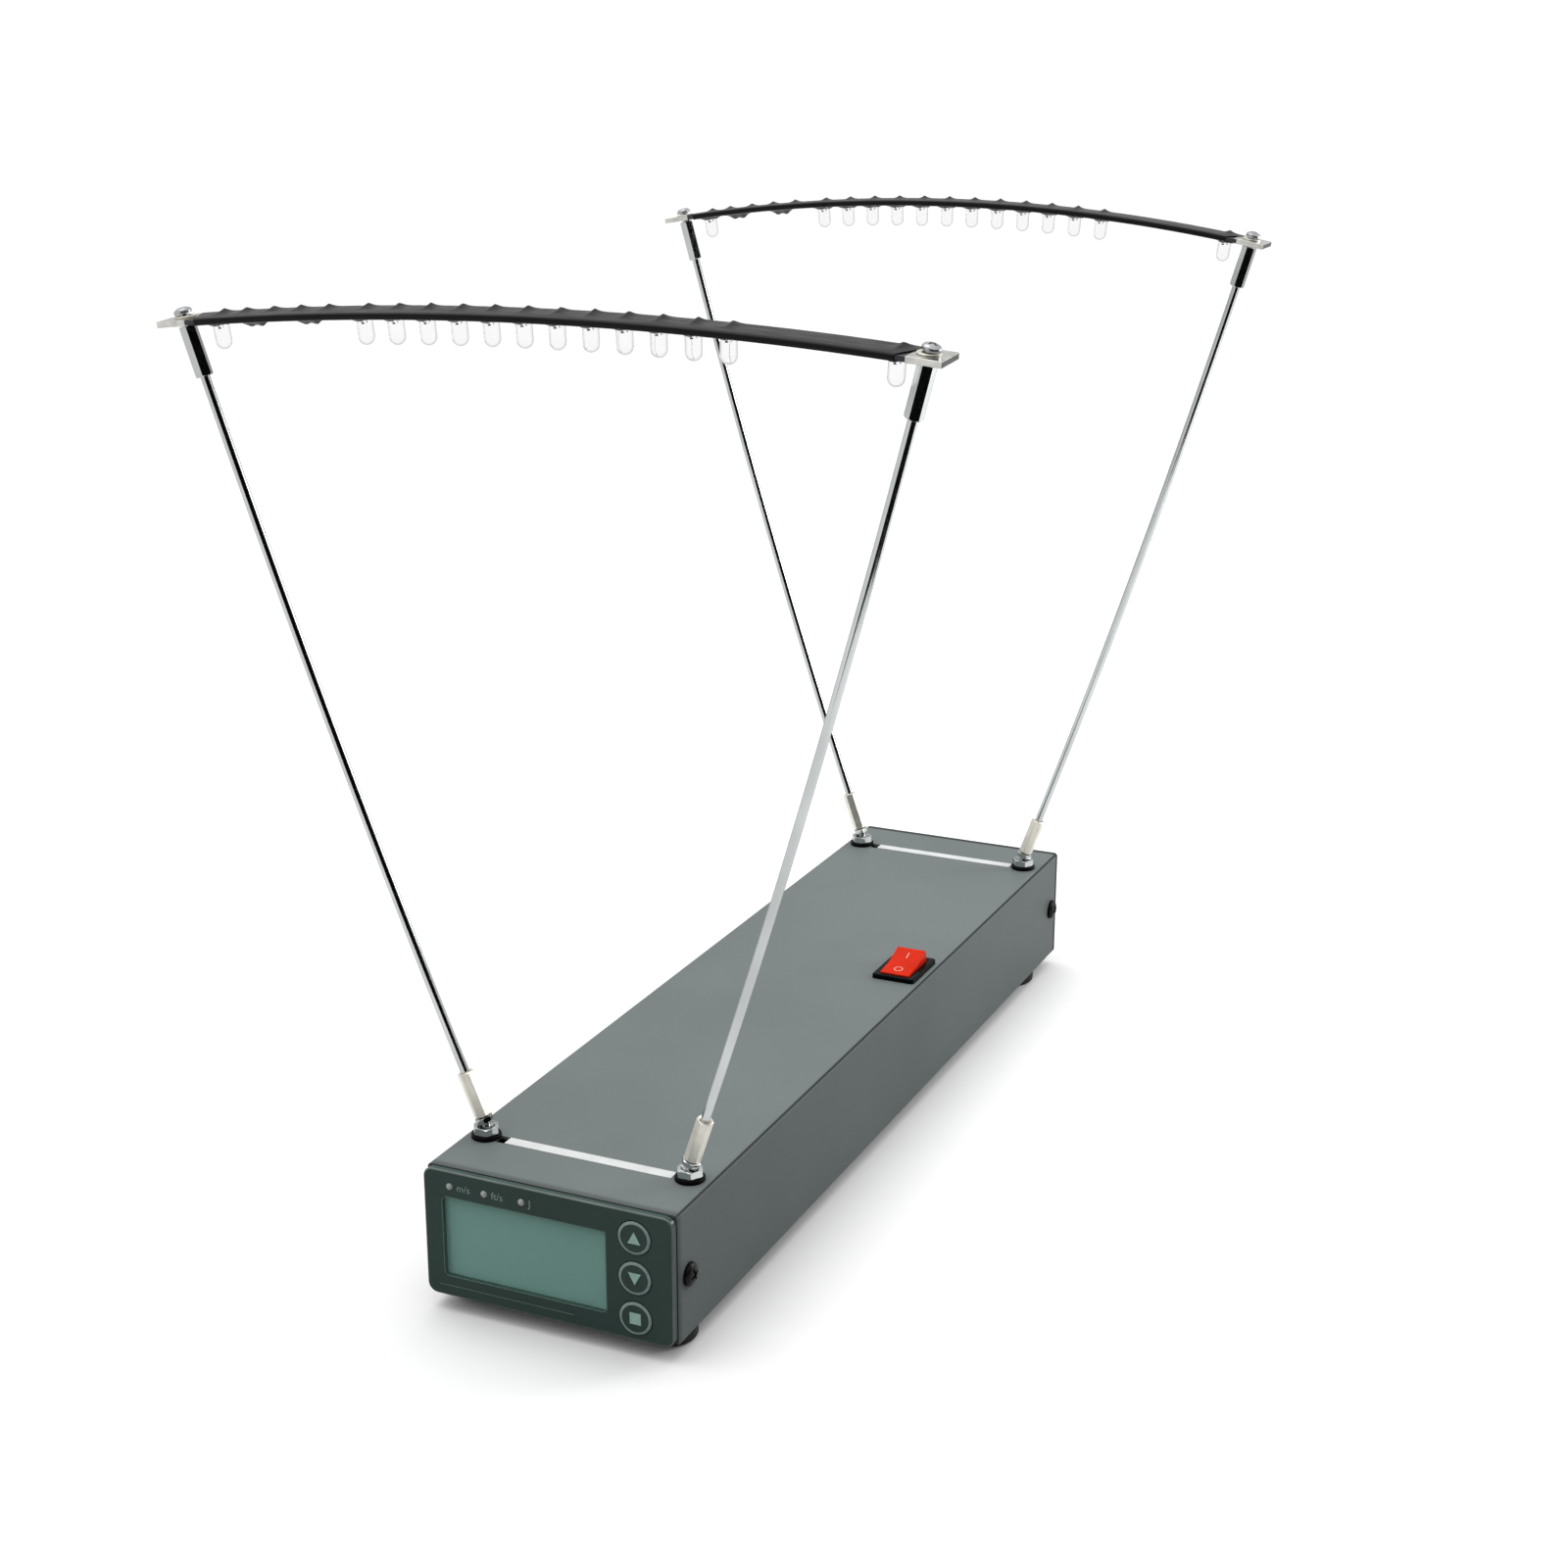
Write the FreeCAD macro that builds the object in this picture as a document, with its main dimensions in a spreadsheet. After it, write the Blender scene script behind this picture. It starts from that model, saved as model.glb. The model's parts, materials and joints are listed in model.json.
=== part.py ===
import FreeCAD, Part
import math
import os

import Sketcher
from FreeCAD import Placement, Rotation, Vector

# A light-curtain speed chronograph: a long sheet-metal case with a display at its front end and two
# open arches standing on it. Each arch is two thin rods and a bowed strip of light-emitting diodes
# that shine down on a row of photodiodes under a window in the case's top.
#
# +X is to the right seen from the display end, +Y runs from the display to the back, +Z is up. The
# origin is on the ground, under the middle of the case. Sizes are in millimetres and degrees.

DIMENSIONS = {
    # case
    "case_width": 90.0,
    "case_height": 45.0,
    "case_length": 370.0,
    "sheet_gauge": 1.0,
    "cover_gap": 0.1,
    "bend_radius": 1.6,
    "tab_depth": 14.0,
    "tab_margin": 7.0,
    "side_screw_setback": 7.5,
    "side_screw_rise": 21.5,
    # feet
    "foot_height": 6.0,
    "foot_diameter": 18.0,
    "foot_inset": 10.0,
    "front_foot_setback": 14.0,
    "rear_foot_setback": 27.0,
    # front panel
    "panel_gauge": 2.0,
    "tape_gauge": 1.0,
    "tape_inset": 1.2,
    "panel_corner": 3.5,
    "window_left": -38.3,
    "window_bottom": 7.3,
    "window_width": 59.6,
    "window_height": 28.6,
    "lens_diameter": 2.4,
    "lens_rise": 39.6,
    # keys
    "key_diameter": 11.4,
    "key_gap": 0.3,
    "key_proud": 0.4,
    "key_side": 31.5,
    "key_low": 7.9,
    "key_pitch": 14.05,
    # display board
    "board_gauge": 1.6,
    "board_stand": 8.0,
    "glass_gauge": 2.8,
    # rocker switch
    "switch_side": 34.2,
    "switch_setback": 216.0,
    "bezel_width": 17.0,
    "bezel_length": 24.5,
    "bezel_gauge": 1.8,
    "switch_mouth_width": 12.2,
    "switch_mouth_length": 20.6,
    "switch_wall": 1.3,
    "switch_depth": 14.0,
    "rocker_width": 11.6,
    "rocker_tilt": 12.0,
    "rocker_sink": 1.2,
    "blade_tilt": 5.0,
    # light sensors
    "sensor_width": 61.0,
    "sensor_slot": 4.4,
    "sensor_shift": 1.2,
    "slot_spare": 3.8,
    "sensor_depth": 11.0,
    # studs
    "stud_side": 37.4,
    "stud_setback": 24.2,
    "stud_base_diameter": 5.0,
    "stud_top_diameter": 3.0,
    "washer_diameter": 10.0,
    "washer_gauge": 1.5,
    "base_nut_flats": 8.0,
    "base_nut_gauge": 2.7,
    "jam_nut_flats": 5.5,
    "jam_nut_gauge": 1.8,
    # arches
    "bend_height": 4.6,
    "coupler_flats": 5.0,
    "coupler_length": 16.0,
    "coupler_start": 3.0,
    "thread_grip": 6.0,
    "thread_gap": 0.05,
    "arch_half_span": 121.0,
    "front_sway": -1.0,
    "front_left_rise": 259.1,
    "front_right_rise": 262.4,
    "rear_rise": 261.8,
    "rod_turn": 3.7,
    "front_lean": 3.8,
    "front_strip_radius": 1190.0,
    "rear_strip_radius": 705.0,
    # lamp strips
    "strip_width": 12.7,
    "strip_gauge": 1.5,
    "pad_gauge": 0.2,
    "strip_overhang": 6.2,
    "strip_hole_radius": 2.1,
    "strip_seat": 0.62,
    "sleeve_wall": 0.45,
    "lamp_pitch": 10.8,
    "lamp_shift": 1.8,
    "end_lamp_left": 109.4,
    "end_lamp_right": 111.2,
}

PANEL_REACH = "(dim.panel_gauge + dim.tape_gauge + dim.key_proud)"
FRONT = f"(({PANEL_REACH} - dim.case_length) / 2)"
REAR = f"(({PANEL_REACH} + dim.case_length) / 2)"
PANEL_BACK = f"({FRONT} - dim.tape_gauge)"
BASE = "dim.foot_height"
TOP = "(dim.foot_height + dim.case_height)"
UNDER_TOP = f"({TOP} - dim.sheet_gauge)"
SIDE = "(dim.case_width / 2)"
INNER_SIDE = f"({SIDE} - dim.sheet_gauge - dim.cover_gap)"
INNER_TOP = f"({UNDER_TOP} - dim.cover_gap)"
DISPLAY_X = "(dim.window_left + dim.window_width / 2)"
DISPLAY_Z = "(dim.foot_height + dim.window_bottom + dim.window_height / 2)"
BOARD_FACE = f"({FRONT} + dim.board_stand)"
SWITCH_Y = f"({FRONT} + dim.switch_setback)"
PIVOT_Z = f"({TOP} - dim.rocker_sink)"

LAMP_COUNT = 12
LENS_SIDES = (-35.2, -22.4, -8.8)
RIGHT, LEFT = 0.0, 180.0

doc = FreeCAD.newDocument("chronograph")
dim = doc.addObject("Spreadsheet::Sheet", "dim")
nodes = []


# ---------------------------------------------------------------- sheet, sketches and features

def fill_sheet():
    """Writes each driving dimension beside its name and gives its cell that name as alias."""
    for row, (alias, number) in enumerate(DIMENSIONS.items(), 1):
        dim.set(f"A{row}", alias)
        dim.set(f"B{row}", str(number))
        dim.setAlias(f"B{row}", alias)
    doc.recompute()


def size(expression):
    """The present value of an expression over the sheet's cells."""
    return float(dim.evalExpression(str(expression)))


def keep(item):
    """Marks a document object as one of the model's sub-parts."""
    nodes.append(item)
    return item


def new_body(label):
    return doc.addObject("PartDesign::Body", label)


def new_sketch(body, plane, offset="0"):
    """A sketch on one of the body's own planes, moved along +X, +Y or +Z by offset."""
    sketch = body.newObject("Sketcher::SketchObject", f"{body.Label}_sketch")
    support = next(item for item in body.Origin.OriginFeatures if item.Role == plane)
    sketch.AttachmentSupport = [(support, "")]
    sketch.MapMode = "FlatFace"
    sign = "-" if plane == "XZ_Plane" else ""
    sketch.setExpression(".AttachmentOffset.Base.z", f"{sign}({offset})")
    return sketch


def bind(sketch, kind, elements, expression):
    """Adds a dimensional constraint driven by an expression."""
    number = sketch.addConstraint(Sketcher.Constraint(kind, *elements, size(expression)))
    name = f"driven_{number}"
    sketch.renameConstraint(number, name)
    sketch.setExpression(f"Constraints.{name}", str(expression))


def outline(sketch, points):
    """A closed outline of straight lines through points, each a pair of expressions."""
    corners = [Vector(size(across), size(up), 0) for across, up in points]
    first = sketch.GeometryCount
    count = len(corners)
    for i in range(count):
        sketch.addGeometry(Part.LineSegment(corners[i], corners[(i + 1) % count]), False)
    for i in range(count):
        follower = first + (i + 1) % count
        sketch.addConstraint(Sketcher.Constraint("Coincident", first + i, 2, follower, 1))
    for i, (across, up) in enumerate(points):
        bind(sketch, "DistanceX", (-1, 1, first + i, 1), across)
        bind(sketch, "DistanceY", (-1, 1, first + i, 1), up)


def rectangle(sketch, left, low, width, height):
    right = f"{left} + {width}"
    high = f"{low} + {height}"
    outline(sketch, [(left, low), (right, low), (right, high), (left, high)])


def centred_rectangle(sketch, across, up, width, height):
    rectangle(sketch, f"{across} - {width} / 2", f"{up} - {height} / 2", width, height)


def circle(sketch, across, up, radius):
    centre = Vector(size(across), size(up), 0)
    number = sketch.addGeometry(Part.Circle(centre, Vector(0, 0, 1), size(radius)), False)
    bind(sketch, "DistanceX", (-1, 1, number, 3), across)
    bind(sketch, "DistanceY", (-1, 1, number, 3), up)
    bind(sketch, "Radius", (number,), radius)


def pad(body, sketch, length, side="One side", backwards=False):
    feature = body.newObject("PartDesign::Pad", f"{body.Label}_pad")
    feature.Profile = sketch
    feature.SideType = side
    feature.Reversed = backwards
    feature.setExpression("Length", str(length))
    return feature


def pocket(body, sketch, depth, backwards=False):
    feature = body.newObject("PartDesign::Pocket", f"{body.Label}_pocket")
    feature.Profile = sketch
    feature.Reversed = backwards
    feature.setExpression("Length", str(depth))
    return feature


def cut_through(body, sketch):
    feature = body.newObject("PartDesign::Pocket", f"{body.Label}_opening")
    feature.Profile = sketch
    feature.Type = "ThroughAll"
    feature.SideType = "Symmetric"
    return feature


def fillet(body, radius, chosen):
    """Rounds the edges of the body's last feature that chosen accepts."""
    doc.recompute()
    base = body.Tip
    names = [f"Edge{i}" for i, edge in enumerate(base.Shape.Edges, 1) if chosen(edge)]
    feature = body.newObject("PartDesign::Fillet", f"{body.Label}_fillet")
    feature.Base = (base, names)
    feature.setExpression("Radius", str(radius))
    return feature


def chamfer(body, setback, chosen):
    """Bevels the edges of the body's last feature that chosen accepts."""
    doc.recompute()
    base = body.Tip
    names = [f"Edge{i}" for i, edge in enumerate(base.Shape.Edges, 1) if chosen(edge)]
    feature = body.newObject("PartDesign::Chamfer", f"{body.Label}_chamfer")
    feature.Base = (base, names)
    feature.setExpression("Size", str(setback))
    return feature


def runs_along(edge, axis):
    """Whether an edge is a straight line along an axis."""
    ends = [vertex.Point for vertex in edge.Vertexes]
    if len(ends) != 2:
        return False
    run = ends[1] - ends[0]
    return abs(run.dot(axis)) > 0.999 * run.Length and abs(edge.Length - run.Length) < 1e-6


def spin(label, points):
    """A body turned about Z from an outline of radius and height pairs."""
    body = new_body(label)
    sketch = new_sketch(body, "XZ_Plane")
    outline(sketch, points)
    turning = body.newObject("PartDesign::Revolution", f"{label}_turning")
    turning.Profile = sketch
    turning.ReferenceAxis = (sketch, ["V_Axis"])
    turning.Angle = 360
    return body


def ring(label, outer, inner, height):
    """A turned ring standing on its own XY plane."""
    return spin(label, [(inner, "0"), (outer, "0"), (outer, height), (inner, height)])


def hex_piece(label, flats, bore, height):
    """A hexagonal nut or spacer standing on its own XY plane."""
    prism = doc.addObject("Part::Prism", f"{label}_prism")
    prism.Polygon = 6
    prism.setExpression("Circumradius", f"{flats} / sqrt(3)")
    prism.setExpression("Height", str(height))
    hole = doc.addObject("Part::Cylinder", f"{label}_bore")
    hole.setExpression("Radius", str(bore))
    hole.setExpression("Height", str(height))
    piece = doc.addObject("Part::Cut", label)
    piece.Base = prism
    piece.Tool = hole
    return piece


def box(label, low, lengths):
    """A block from its low corner and its three lengths, all expressions."""
    block = doc.addObject("Part::Box", label)
    for name, length in zip(("Length", "Width", "Height"), lengths):
        block.setExpression(name, str(length))
    for name, place in zip("xyz", low):
        block.setExpression(f".Placement.Base.{name}", str(place))
    return block


def group(label, items):
    compound = doc.addObject("Part::Compound", label)
    compound.Links = items
    return compound


def repeat(label, master, places):
    """Copies of one piece, each a separate solid, as one sub-part."""
    copies = []
    for place in places:
        copy = doc.addObject("App::Link", f"{label}_copy")
        copy.LinkedObject = master
        copy.LinkTransform = False
        copy.Placement = place
        copies.append(copy)
    return group(label, copies)


def at(x, y, z, turn=Rotation()):
    return Placement(Vector(size(x), size(y), size(z)), turn)


def pan_screw(label, radius, length, head_radius, head_height):
    """A cross-recessed pan-head screw, its seat on the XY plane and its shank below it."""
    screw = spin(label, [
        ("0", f"-{length}"),
        (radius, f"-{length}"),
        (radius, "0"),
        (head_radius, "0"),
        (head_radius, f"{head_height} * 0.5"),
        (f"{head_radius} * 0.72", f"{head_height}"),
        ("0", f"{head_height}"),
    ])
    recess = new_sketch(screw, "XY_Plane", head_height)
    arm = head_radius * 0.52
    rib = head_radius * 0.14
    outline(recess, [
        (-arm, -rib), (-rib, -rib), (-rib, -arm), (rib, -arm), (rib, -rib), (arm, -rib),
        (arm, rib), (rib, rib), (rib, arm), (-rib, arm), (-rib, rib), (-arm, rib),
    ])
    pocket(screw, recess, head_height * 0.6)
    return screw


# ---------------------------------------------------------------- case

def stud_spots():
    """The four studs' places on the top, as expressions."""
    lines = (f"({FRONT} + dim.stud_setback)", f"({REAR} - dim.stud_setback)")
    return [(side, line) for line in lines for side in ("-dim.stud_side", "dim.stud_side")]


def side_screw_lines():
    return (f"({FRONT} + dim.side_screw_setback)", f"({REAR} - dim.side_screw_setback)")


def make_case_cover():
    """The painted top and sides, one bent sheet open at the bottom and at both ends."""
    body = new_body("case_cover")
    profile = new_sketch(body, "XZ_Plane", REAR)
    inner = f"({SIDE} - dim.sheet_gauge)"
    outline(profile, [
        (f"-{SIDE}", BASE), (f"-{SIDE}", TOP), (SIDE, TOP), (SIDE, BASE),
        (inner, BASE), (inner, UNDER_TOP), (f"-{inner}", UNDER_TOP), (f"-{inner}", BASE),
    ])
    pad(body, profile, "dim.case_length")
    top = size(TOP)
    fillet(body, "dim.bend_radius", lambda edge: runs_along(edge, Vector(0, 1, 0))
           and edge.CenterOfMass.z > top - 0.01)
    openings = new_sketch(body, "XY_Plane")
    for x, y in stud_spots():
        circle(openings, x, y, "dim.stud_base_diameter / 2 + 0.7")
    for y in (f"({FRONT} + dim.stud_setback)", f"({REAR} - dim.stud_setback)"):
        centred_rectangle(openings, "(dim.sensor_shift - dim.slot_spare / 2)", y,
                          "(dim.sensor_width + dim.slot_spare + 0.3)", "(dim.sensor_slot + 0.3)")
    centred_rectangle(openings, "dim.switch_side", SWITCH_Y,
                      "(dim.switch_mouth_width + 2 * dim.switch_wall + 0.2)",
                      "(dim.switch_mouth_length + 2 * dim.switch_wall + 0.2)")
    cut_through(body, openings)
    screws = new_sketch(body, "YZ_Plane")
    for y in side_screw_lines():
        circle(screws, y, "dim.foot_height + dim.side_screw_rise", "2.2")
    cut_through(body, screws)
    keep(body)


def make_case_chassis():
    """The bottom with its turned-up front and rear walls and the tabs that take the side screws."""
    body = new_body("case_chassis")
    wall = "dim.sheet_gauge"
    tray = new_sketch(body, "YZ_Plane")
    outline(tray, [
        (FRONT, BASE), (REAR, BASE), (REAR, INNER_TOP), (f"{REAR} - {wall}", INNER_TOP),
        (f"{REAR} - {wall}", f"{BASE} + {wall}"), (f"{FRONT} + {wall}", f"{BASE} + {wall}"),
        (f"{FRONT} + {wall}", INNER_TOP), (FRONT, INNER_TOP),
    ])
    pad(body, tray, f"2 * {INNER_SIDE}", "Symmetric")
    tab_low = f"({BASE} + dim.tab_margin)"
    tab_height = "(dim.case_height - 2 * dim.tab_margin)"
    for edge, backwards in ((f"-{INNER_SIDE}", False), (INNER_SIDE, True)):
        tabs = new_sketch(body, "YZ_Plane", edge)
        rectangle(tabs, FRONT, tab_low, "dim.tab_depth", tab_height)
        rectangle(tabs, f"{REAR} - dim.tab_depth", tab_low, "dim.tab_depth", tab_height)
        pad(body, tabs, wall, backwards=backwards)
        bosses = new_sketch(body, "YZ_Plane", edge)
        for y in side_screw_lines():
            circle(bosses, y, "dim.foot_height + dim.side_screw_rise", "3.1")
        pad(body, bosses, "2.4", backwards=backwards)
    threads = new_sketch(body, "YZ_Plane")
    for y in side_screw_lines():
        circle(threads, y, "dim.foot_height + dim.side_screw_rise", "2 + dim.thread_gap")
    cut_through(body, threads)
    face = new_sketch(body, "XZ_Plane", FRONT)
    centred_rectangle(face, DISPLAY_X, DISPLAY_Z, "61", "30")
    for z in key_rises():
        circle(face, "dim.key_side", z, "dim.key_diameter / 2 + dim.key_gap")
    for x in LENS_SIDES:
        circle(face, x, "dim.foot_height + dim.lens_rise", "dim.lens_diameter / 2 + 0.3")
    pocket(body, face, "2 * dim.sheet_gauge")
    floor = new_sketch(body, "XY_Plane")
    for x, y in foot_spots():
        circle(floor, x, y, "1.5 + dim.thread_gap")
    cut_through(body, floor)
    keep(body)


def foot_spots():
    """The four feet's places under the case, as expressions."""
    side = f"({SIDE} - dim.foot_inset)"
    lines = (f"({FRONT} + dim.front_foot_setback)", f"({REAR} - dim.rear_foot_setback)")
    return [(x, line) for line in lines for x in (f"-{side}", side)]


def make_case_fasteners():
    """Side screws that join cover and chassis, rubber feet and the screws that hold the feet."""
    screw = pan_screw("side_screw_master", 2.0, 3.4, 4.0, 2.4)
    places = []
    for y in side_screw_lines():
        for sign in (-1, 1):
            turn = Rotation(Vector(0, 1, 0), 90 * sign)
            places.append(at(f"{sign} * {SIDE}", y, "dim.foot_height + dim.side_screw_rise", turn))
    keep(repeat("cover_screws", screw, places))
    radius = "dim.foot_diameter / 2"
    foot = spin("foot_master", [
        ("1.7", "3"), ("3.5", "3"), ("3.5", "0"), (f"{radius} - 2.4", "0"), (f"{radius} - 1.0", "0.6"),
        (f"{radius} - 0.3", "1.8"), (radius, "3.2"), (radius, "dim.foot_height"),
        ("1.7", "dim.foot_height"),
    ])
    keep(repeat("rubber_feet", foot, [at(x, y, "0") for x, y in foot_spots()]))
    short = pan_screw("foot_screw_master", 1.5, 6.0, 2.8, 2.0)
    upside_down = Rotation(Vector(1, 0, 0), 180)
    keep(repeat("foot_screws", short, [at(x, y, "3", upside_down) for x, y in foot_spots()]))


# ---------------------------------------------------------------- front panel, display and keys

def key_rises():
    """The heights of the three key centres, lowest first, as expressions."""
    return [f"(dim.foot_height + dim.key_low + {i} * dim.key_pitch)" for i in range(3)]


def window_outline(sketch, gap):
    centred_rectangle(sketch, DISPLAY_X, DISPLAY_Z, f"(dim.window_width + 2 * {gap})",
                      f"(dim.window_height + 2 * {gap})")


def make_front_panel():
    """The glossy panel, the foam tape behind it, the clear window and the indicator lenses."""
    along_y = Vector(0, 1, 0)
    panel = new_body("front_panel")
    plate = new_sketch(panel, "XZ_Plane", PANEL_BACK)
    centred_rectangle(plate, "0", f"(({BASE} + {TOP}) / 2)", "dim.case_width", "dim.case_height")
    pad(panel, plate, "dim.panel_gauge")
    fillet(panel, "dim.panel_corner", lambda edge: runs_along(edge, along_y))
    face = size(f"{PANEL_BACK} - dim.panel_gauge")
    chamfer(panel, "0.4", lambda edge: edge.BoundBox.YMax < face + 0.01)
    holes = new_sketch(panel, "XZ_Plane", PANEL_BACK)
    window_outline(holes, "0.05")
    for z in key_rises():
        circle(holes, "dim.key_side", z, "dim.key_diameter / 2 + dim.key_gap")
    for x in LENS_SIDES:
        circle(holes, x, "dim.foot_height + dim.lens_rise", "dim.lens_diameter / 2 + 0.05")
    cut_through(panel, holes)
    keep(panel)

    tape = new_body("panel_tape")
    sheet = new_sketch(tape, "XZ_Plane", FRONT)
    centred_rectangle(sheet, "0", f"(({BASE} + {TOP}) / 2)", "(dim.case_width - 2 * dim.tape_inset)",
                      "(dim.case_height - 2 * dim.tape_inset)")
    pad(tape, sheet, "dim.tape_gauge")
    gaps = new_sketch(tape, "XZ_Plane", FRONT)
    centred_rectangle(gaps, DISPLAY_X, DISPLAY_Z, "61", "30")
    for z in key_rises():
        circle(gaps, "dim.key_side", z, "dim.key_diameter / 2 + 0.5")
    for x in LENS_SIDES:
        circle(gaps, x, "dim.foot_height + dim.lens_rise", "dim.lens_diameter / 2 + 0.3")
    cut_through(tape, gaps)
    keep(tape)

    window = new_body("display_window")
    pane = new_sketch(window, "XZ_Plane", PANEL_BACK)
    window_outline(pane, "0")
    pad(window, pane, "dim.panel_gauge")
    keep(window)

    lens = ring("lens_master", "dim.lens_diameter / 2", "0", "dim.panel_gauge + dim.tape_gauge + 1.2")
    towards_front = Rotation(Vector(1, 0, 0), 90)
    rise = "dim.foot_height + dim.lens_rise"
    keep(repeat("indicator_lenses", lens,
                [at(x, f"{FRONT} + 1.2", rise, towards_front) for x in LENS_SIDES]))


def make_keys():
    """Three round keys that slide in, each with the plunger of its switch, and the switch bodies."""
    flange = "(dim.key_diameter / 2 + 0.75)"
    stem_end = "(dim.board_stand - 4.4)"
    face = PANEL_REACH
    cap = spin("key_master", [
        ("0", f"-{stem_end}"), ("2", f"-{stem_end}"), ("2", "-2"), (flange, "-2"), (flange, "-1.15"),
        ("dim.key_diameter / 2", "-1.15"), ("dim.key_diameter / 2", f"{face} - 0.3"),
        ("dim.key_diameter / 2 - 0.3", face), ("0", face),
    ])
    plunger = ring("plunger_master", "1.7", "0", "2.3")
    towards_front = Rotation(Vector(1, 0, 0), 90)
    for name, z in zip(("stop", "down", "up"), key_rises()):
        keep(repeat(f"key_{name}", cap, [at("dim.key_side", FRONT, z, towards_front)]))
        keep(repeat(f"plunger_{name}", plunger,
                    [at("dim.key_side", f"{BOARD_FACE} - 2.0", z, towards_front)]))

    housing = new_body("switch_body_master")
    square = new_sketch(housing, "XY_Plane")
    centred_rectangle(square, "0", "0", "6", "6")
    pad(housing, square, "3.5")
    well = new_sketch(housing, "XY_Plane", "3.5")
    circle(well, "0", "0", "1.78")
    pocket(housing, well, "2.6")
    keep(repeat("key_switches", housing,
                [at("dim.key_side", BOARD_FACE, z, towards_front) for z in key_rises()]))


def display_post_spots():
    """The four posts of the display board, as numbers across and heights above the case's bottom."""
    return ((-38.8, 3.3), (-38.8, 41.0), (39.2, 41.0), (39.2, 3.3))


def make_display():
    """The display stack on its upright board, its posts and the three indicator diodes."""
    glass_front = f"({PANEL_BACK} + 0.1)"
    glass_back = f"({glass_front} + dim.glass_gauge)"
    keep(box("lcd_glass", (f"{DISPLAY_X} - 30.2", glass_front, f"{DISPLAY_Z} - 14.7"),
             ("60.4", "dim.glass_gauge", "29.4")))
    keep(box("lcd_backlight", (f"{DISPLAY_X} - 32", glass_back, f"{DISPLAY_Z} - 16"),
             ("64", f"{BOARD_FACE} - {glass_back}", "32")))

    board = new_body("display_board")
    plate = new_sketch(board, "XZ_Plane", f"{BOARD_FACE} + dim.board_gauge")
    rectangle(plate, "-41.2", f"{BASE} + 1.4", "82.4", "41.6")
    for x, rise in display_post_spots():
        circle(plate, x, f"{BASE} + {rise}", "1 + dim.thread_gap")
    pad(board, plate, "dim.board_gauge")
    keep(board)

    into_case = Rotation(Vector(1, 0, 0), -90)
    post = ring("display_post_master", "1.9", "1 + dim.thread_gap",
                "dim.board_stand - dim.sheet_gauge")
    keep(repeat("display_posts", post,
                [at(x, f"{FRONT} + dim.sheet_gauge", f"{BASE} + {rise}", into_case)
                 for x, rise in display_post_spots()]))
    diodes = [box(f"indicator_{i}", (f"{x} - 0.8", f"{BOARD_FACE} - 0.8",
                                     "dim.foot_height + dim.lens_rise - 0.6"), ("1.6", "0.8", "1.2"))
              for i, x in enumerate(LENS_SIDES)]
    keep(group("indicator_diodes", diodes))


# ---------------------------------------------------------------- rocker switch

def make_switch_housing():
    body = new_body("switch_housing")
    bezel = new_sketch(body, "XY_Plane", TOP)
    centred_rectangle(bezel, "dim.switch_side", SWITCH_Y, "dim.bezel_width", "dim.bezel_length")
    pad(body, bezel, "dim.bezel_gauge")
    fillet(body, "1.2", lambda edge: runs_along(edge, Vector(0, 0, 1)))
    rim = size(f"{TOP} + dim.bezel_gauge")
    fillet(body, "0.5", lambda edge: edge.BoundBox.ZMin > rim - 0.01)
    shell = new_sketch(body, "XY_Plane", TOP)
    centred_rectangle(shell, "dim.switch_side", SWITCH_Y,
                      "(dim.switch_mouth_width + 2 * dim.switch_wall)",
                      "(dim.switch_mouth_length + 2 * dim.switch_wall)")
    pad(body, shell, "dim.switch_depth", backwards=True)
    mouth = new_sketch(body, "XY_Plane", f"{TOP} + dim.bezel_gauge")
    centred_rectangle(mouth, "dim.switch_side", SWITCH_Y, "dim.switch_mouth_width",
                      "dim.switch_mouth_length")
    pocket(body, mouth, "dim.switch_depth + dim.bezel_gauge - 1.2")
    pivot = new_sketch(body, "YZ_Plane", "dim.switch_side")
    circle(pivot, SWITCH_Y, PIVOT_Z, "1.5 + dim.thread_gap")
    cut_through(body, pivot)
    slots = new_sketch(body, "XY_Plane", f"{TOP} - dim.switch_depth - 1")
    for shift in ("0", "6"):
        centred_rectangle(slots, "dim.switch_side", f"({SWITCH_Y} - {shift})", "4.9", "0.9")
    pocket(body, slots, "4", backwards=True)
    keep(body)


def make_switch_rocker():
    """The rocker at rest with its front end pressed, on two pins in the housing's side walls."""
    rocker = new_body("switch_rocker")
    side = new_sketch(rocker, "YZ_Plane")
    outline(side, [
        ("-9.2", "5.5"), ("0", "4.5"), ("9.2", "5.5"), ("9.6", "1.5"), ("7", "-3"),
        ("1.25", "-3"), ("1.25", "-7.2"), ("-1.25", "-7.2"), ("-1.25", "-3"), ("-7", "-3"),
        ("-9.6", "1.5"),
    ])
    pad(rocker, side, "dim.rocker_width", "Symmetric")
    trim = new_sketch(rocker, "XZ_Plane", "-20")
    for left in ("-dim.rocker_width / 2 - 1", "1.25"):
        rectangle(trim, left, "-8", "dim.rocker_width / 2 - 0.25", "5")
    pocket(rocker, trim, "40", backwards=False)
    pins = new_sketch(rocker, "YZ_Plane")
    circle(pins, "0", "0", "1.5")
    pad(rocker, pins, "dim.switch_mouth_width + 2 * dim.switch_wall - 0.4", "Symmetric")
    rocker.Placement = at("dim.switch_side", SWITCH_Y, PIVOT_Z,
                          Rotation(Vector(1, 0, 0), size("dim.rocker_tilt")))
    keep(rocker)


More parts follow.
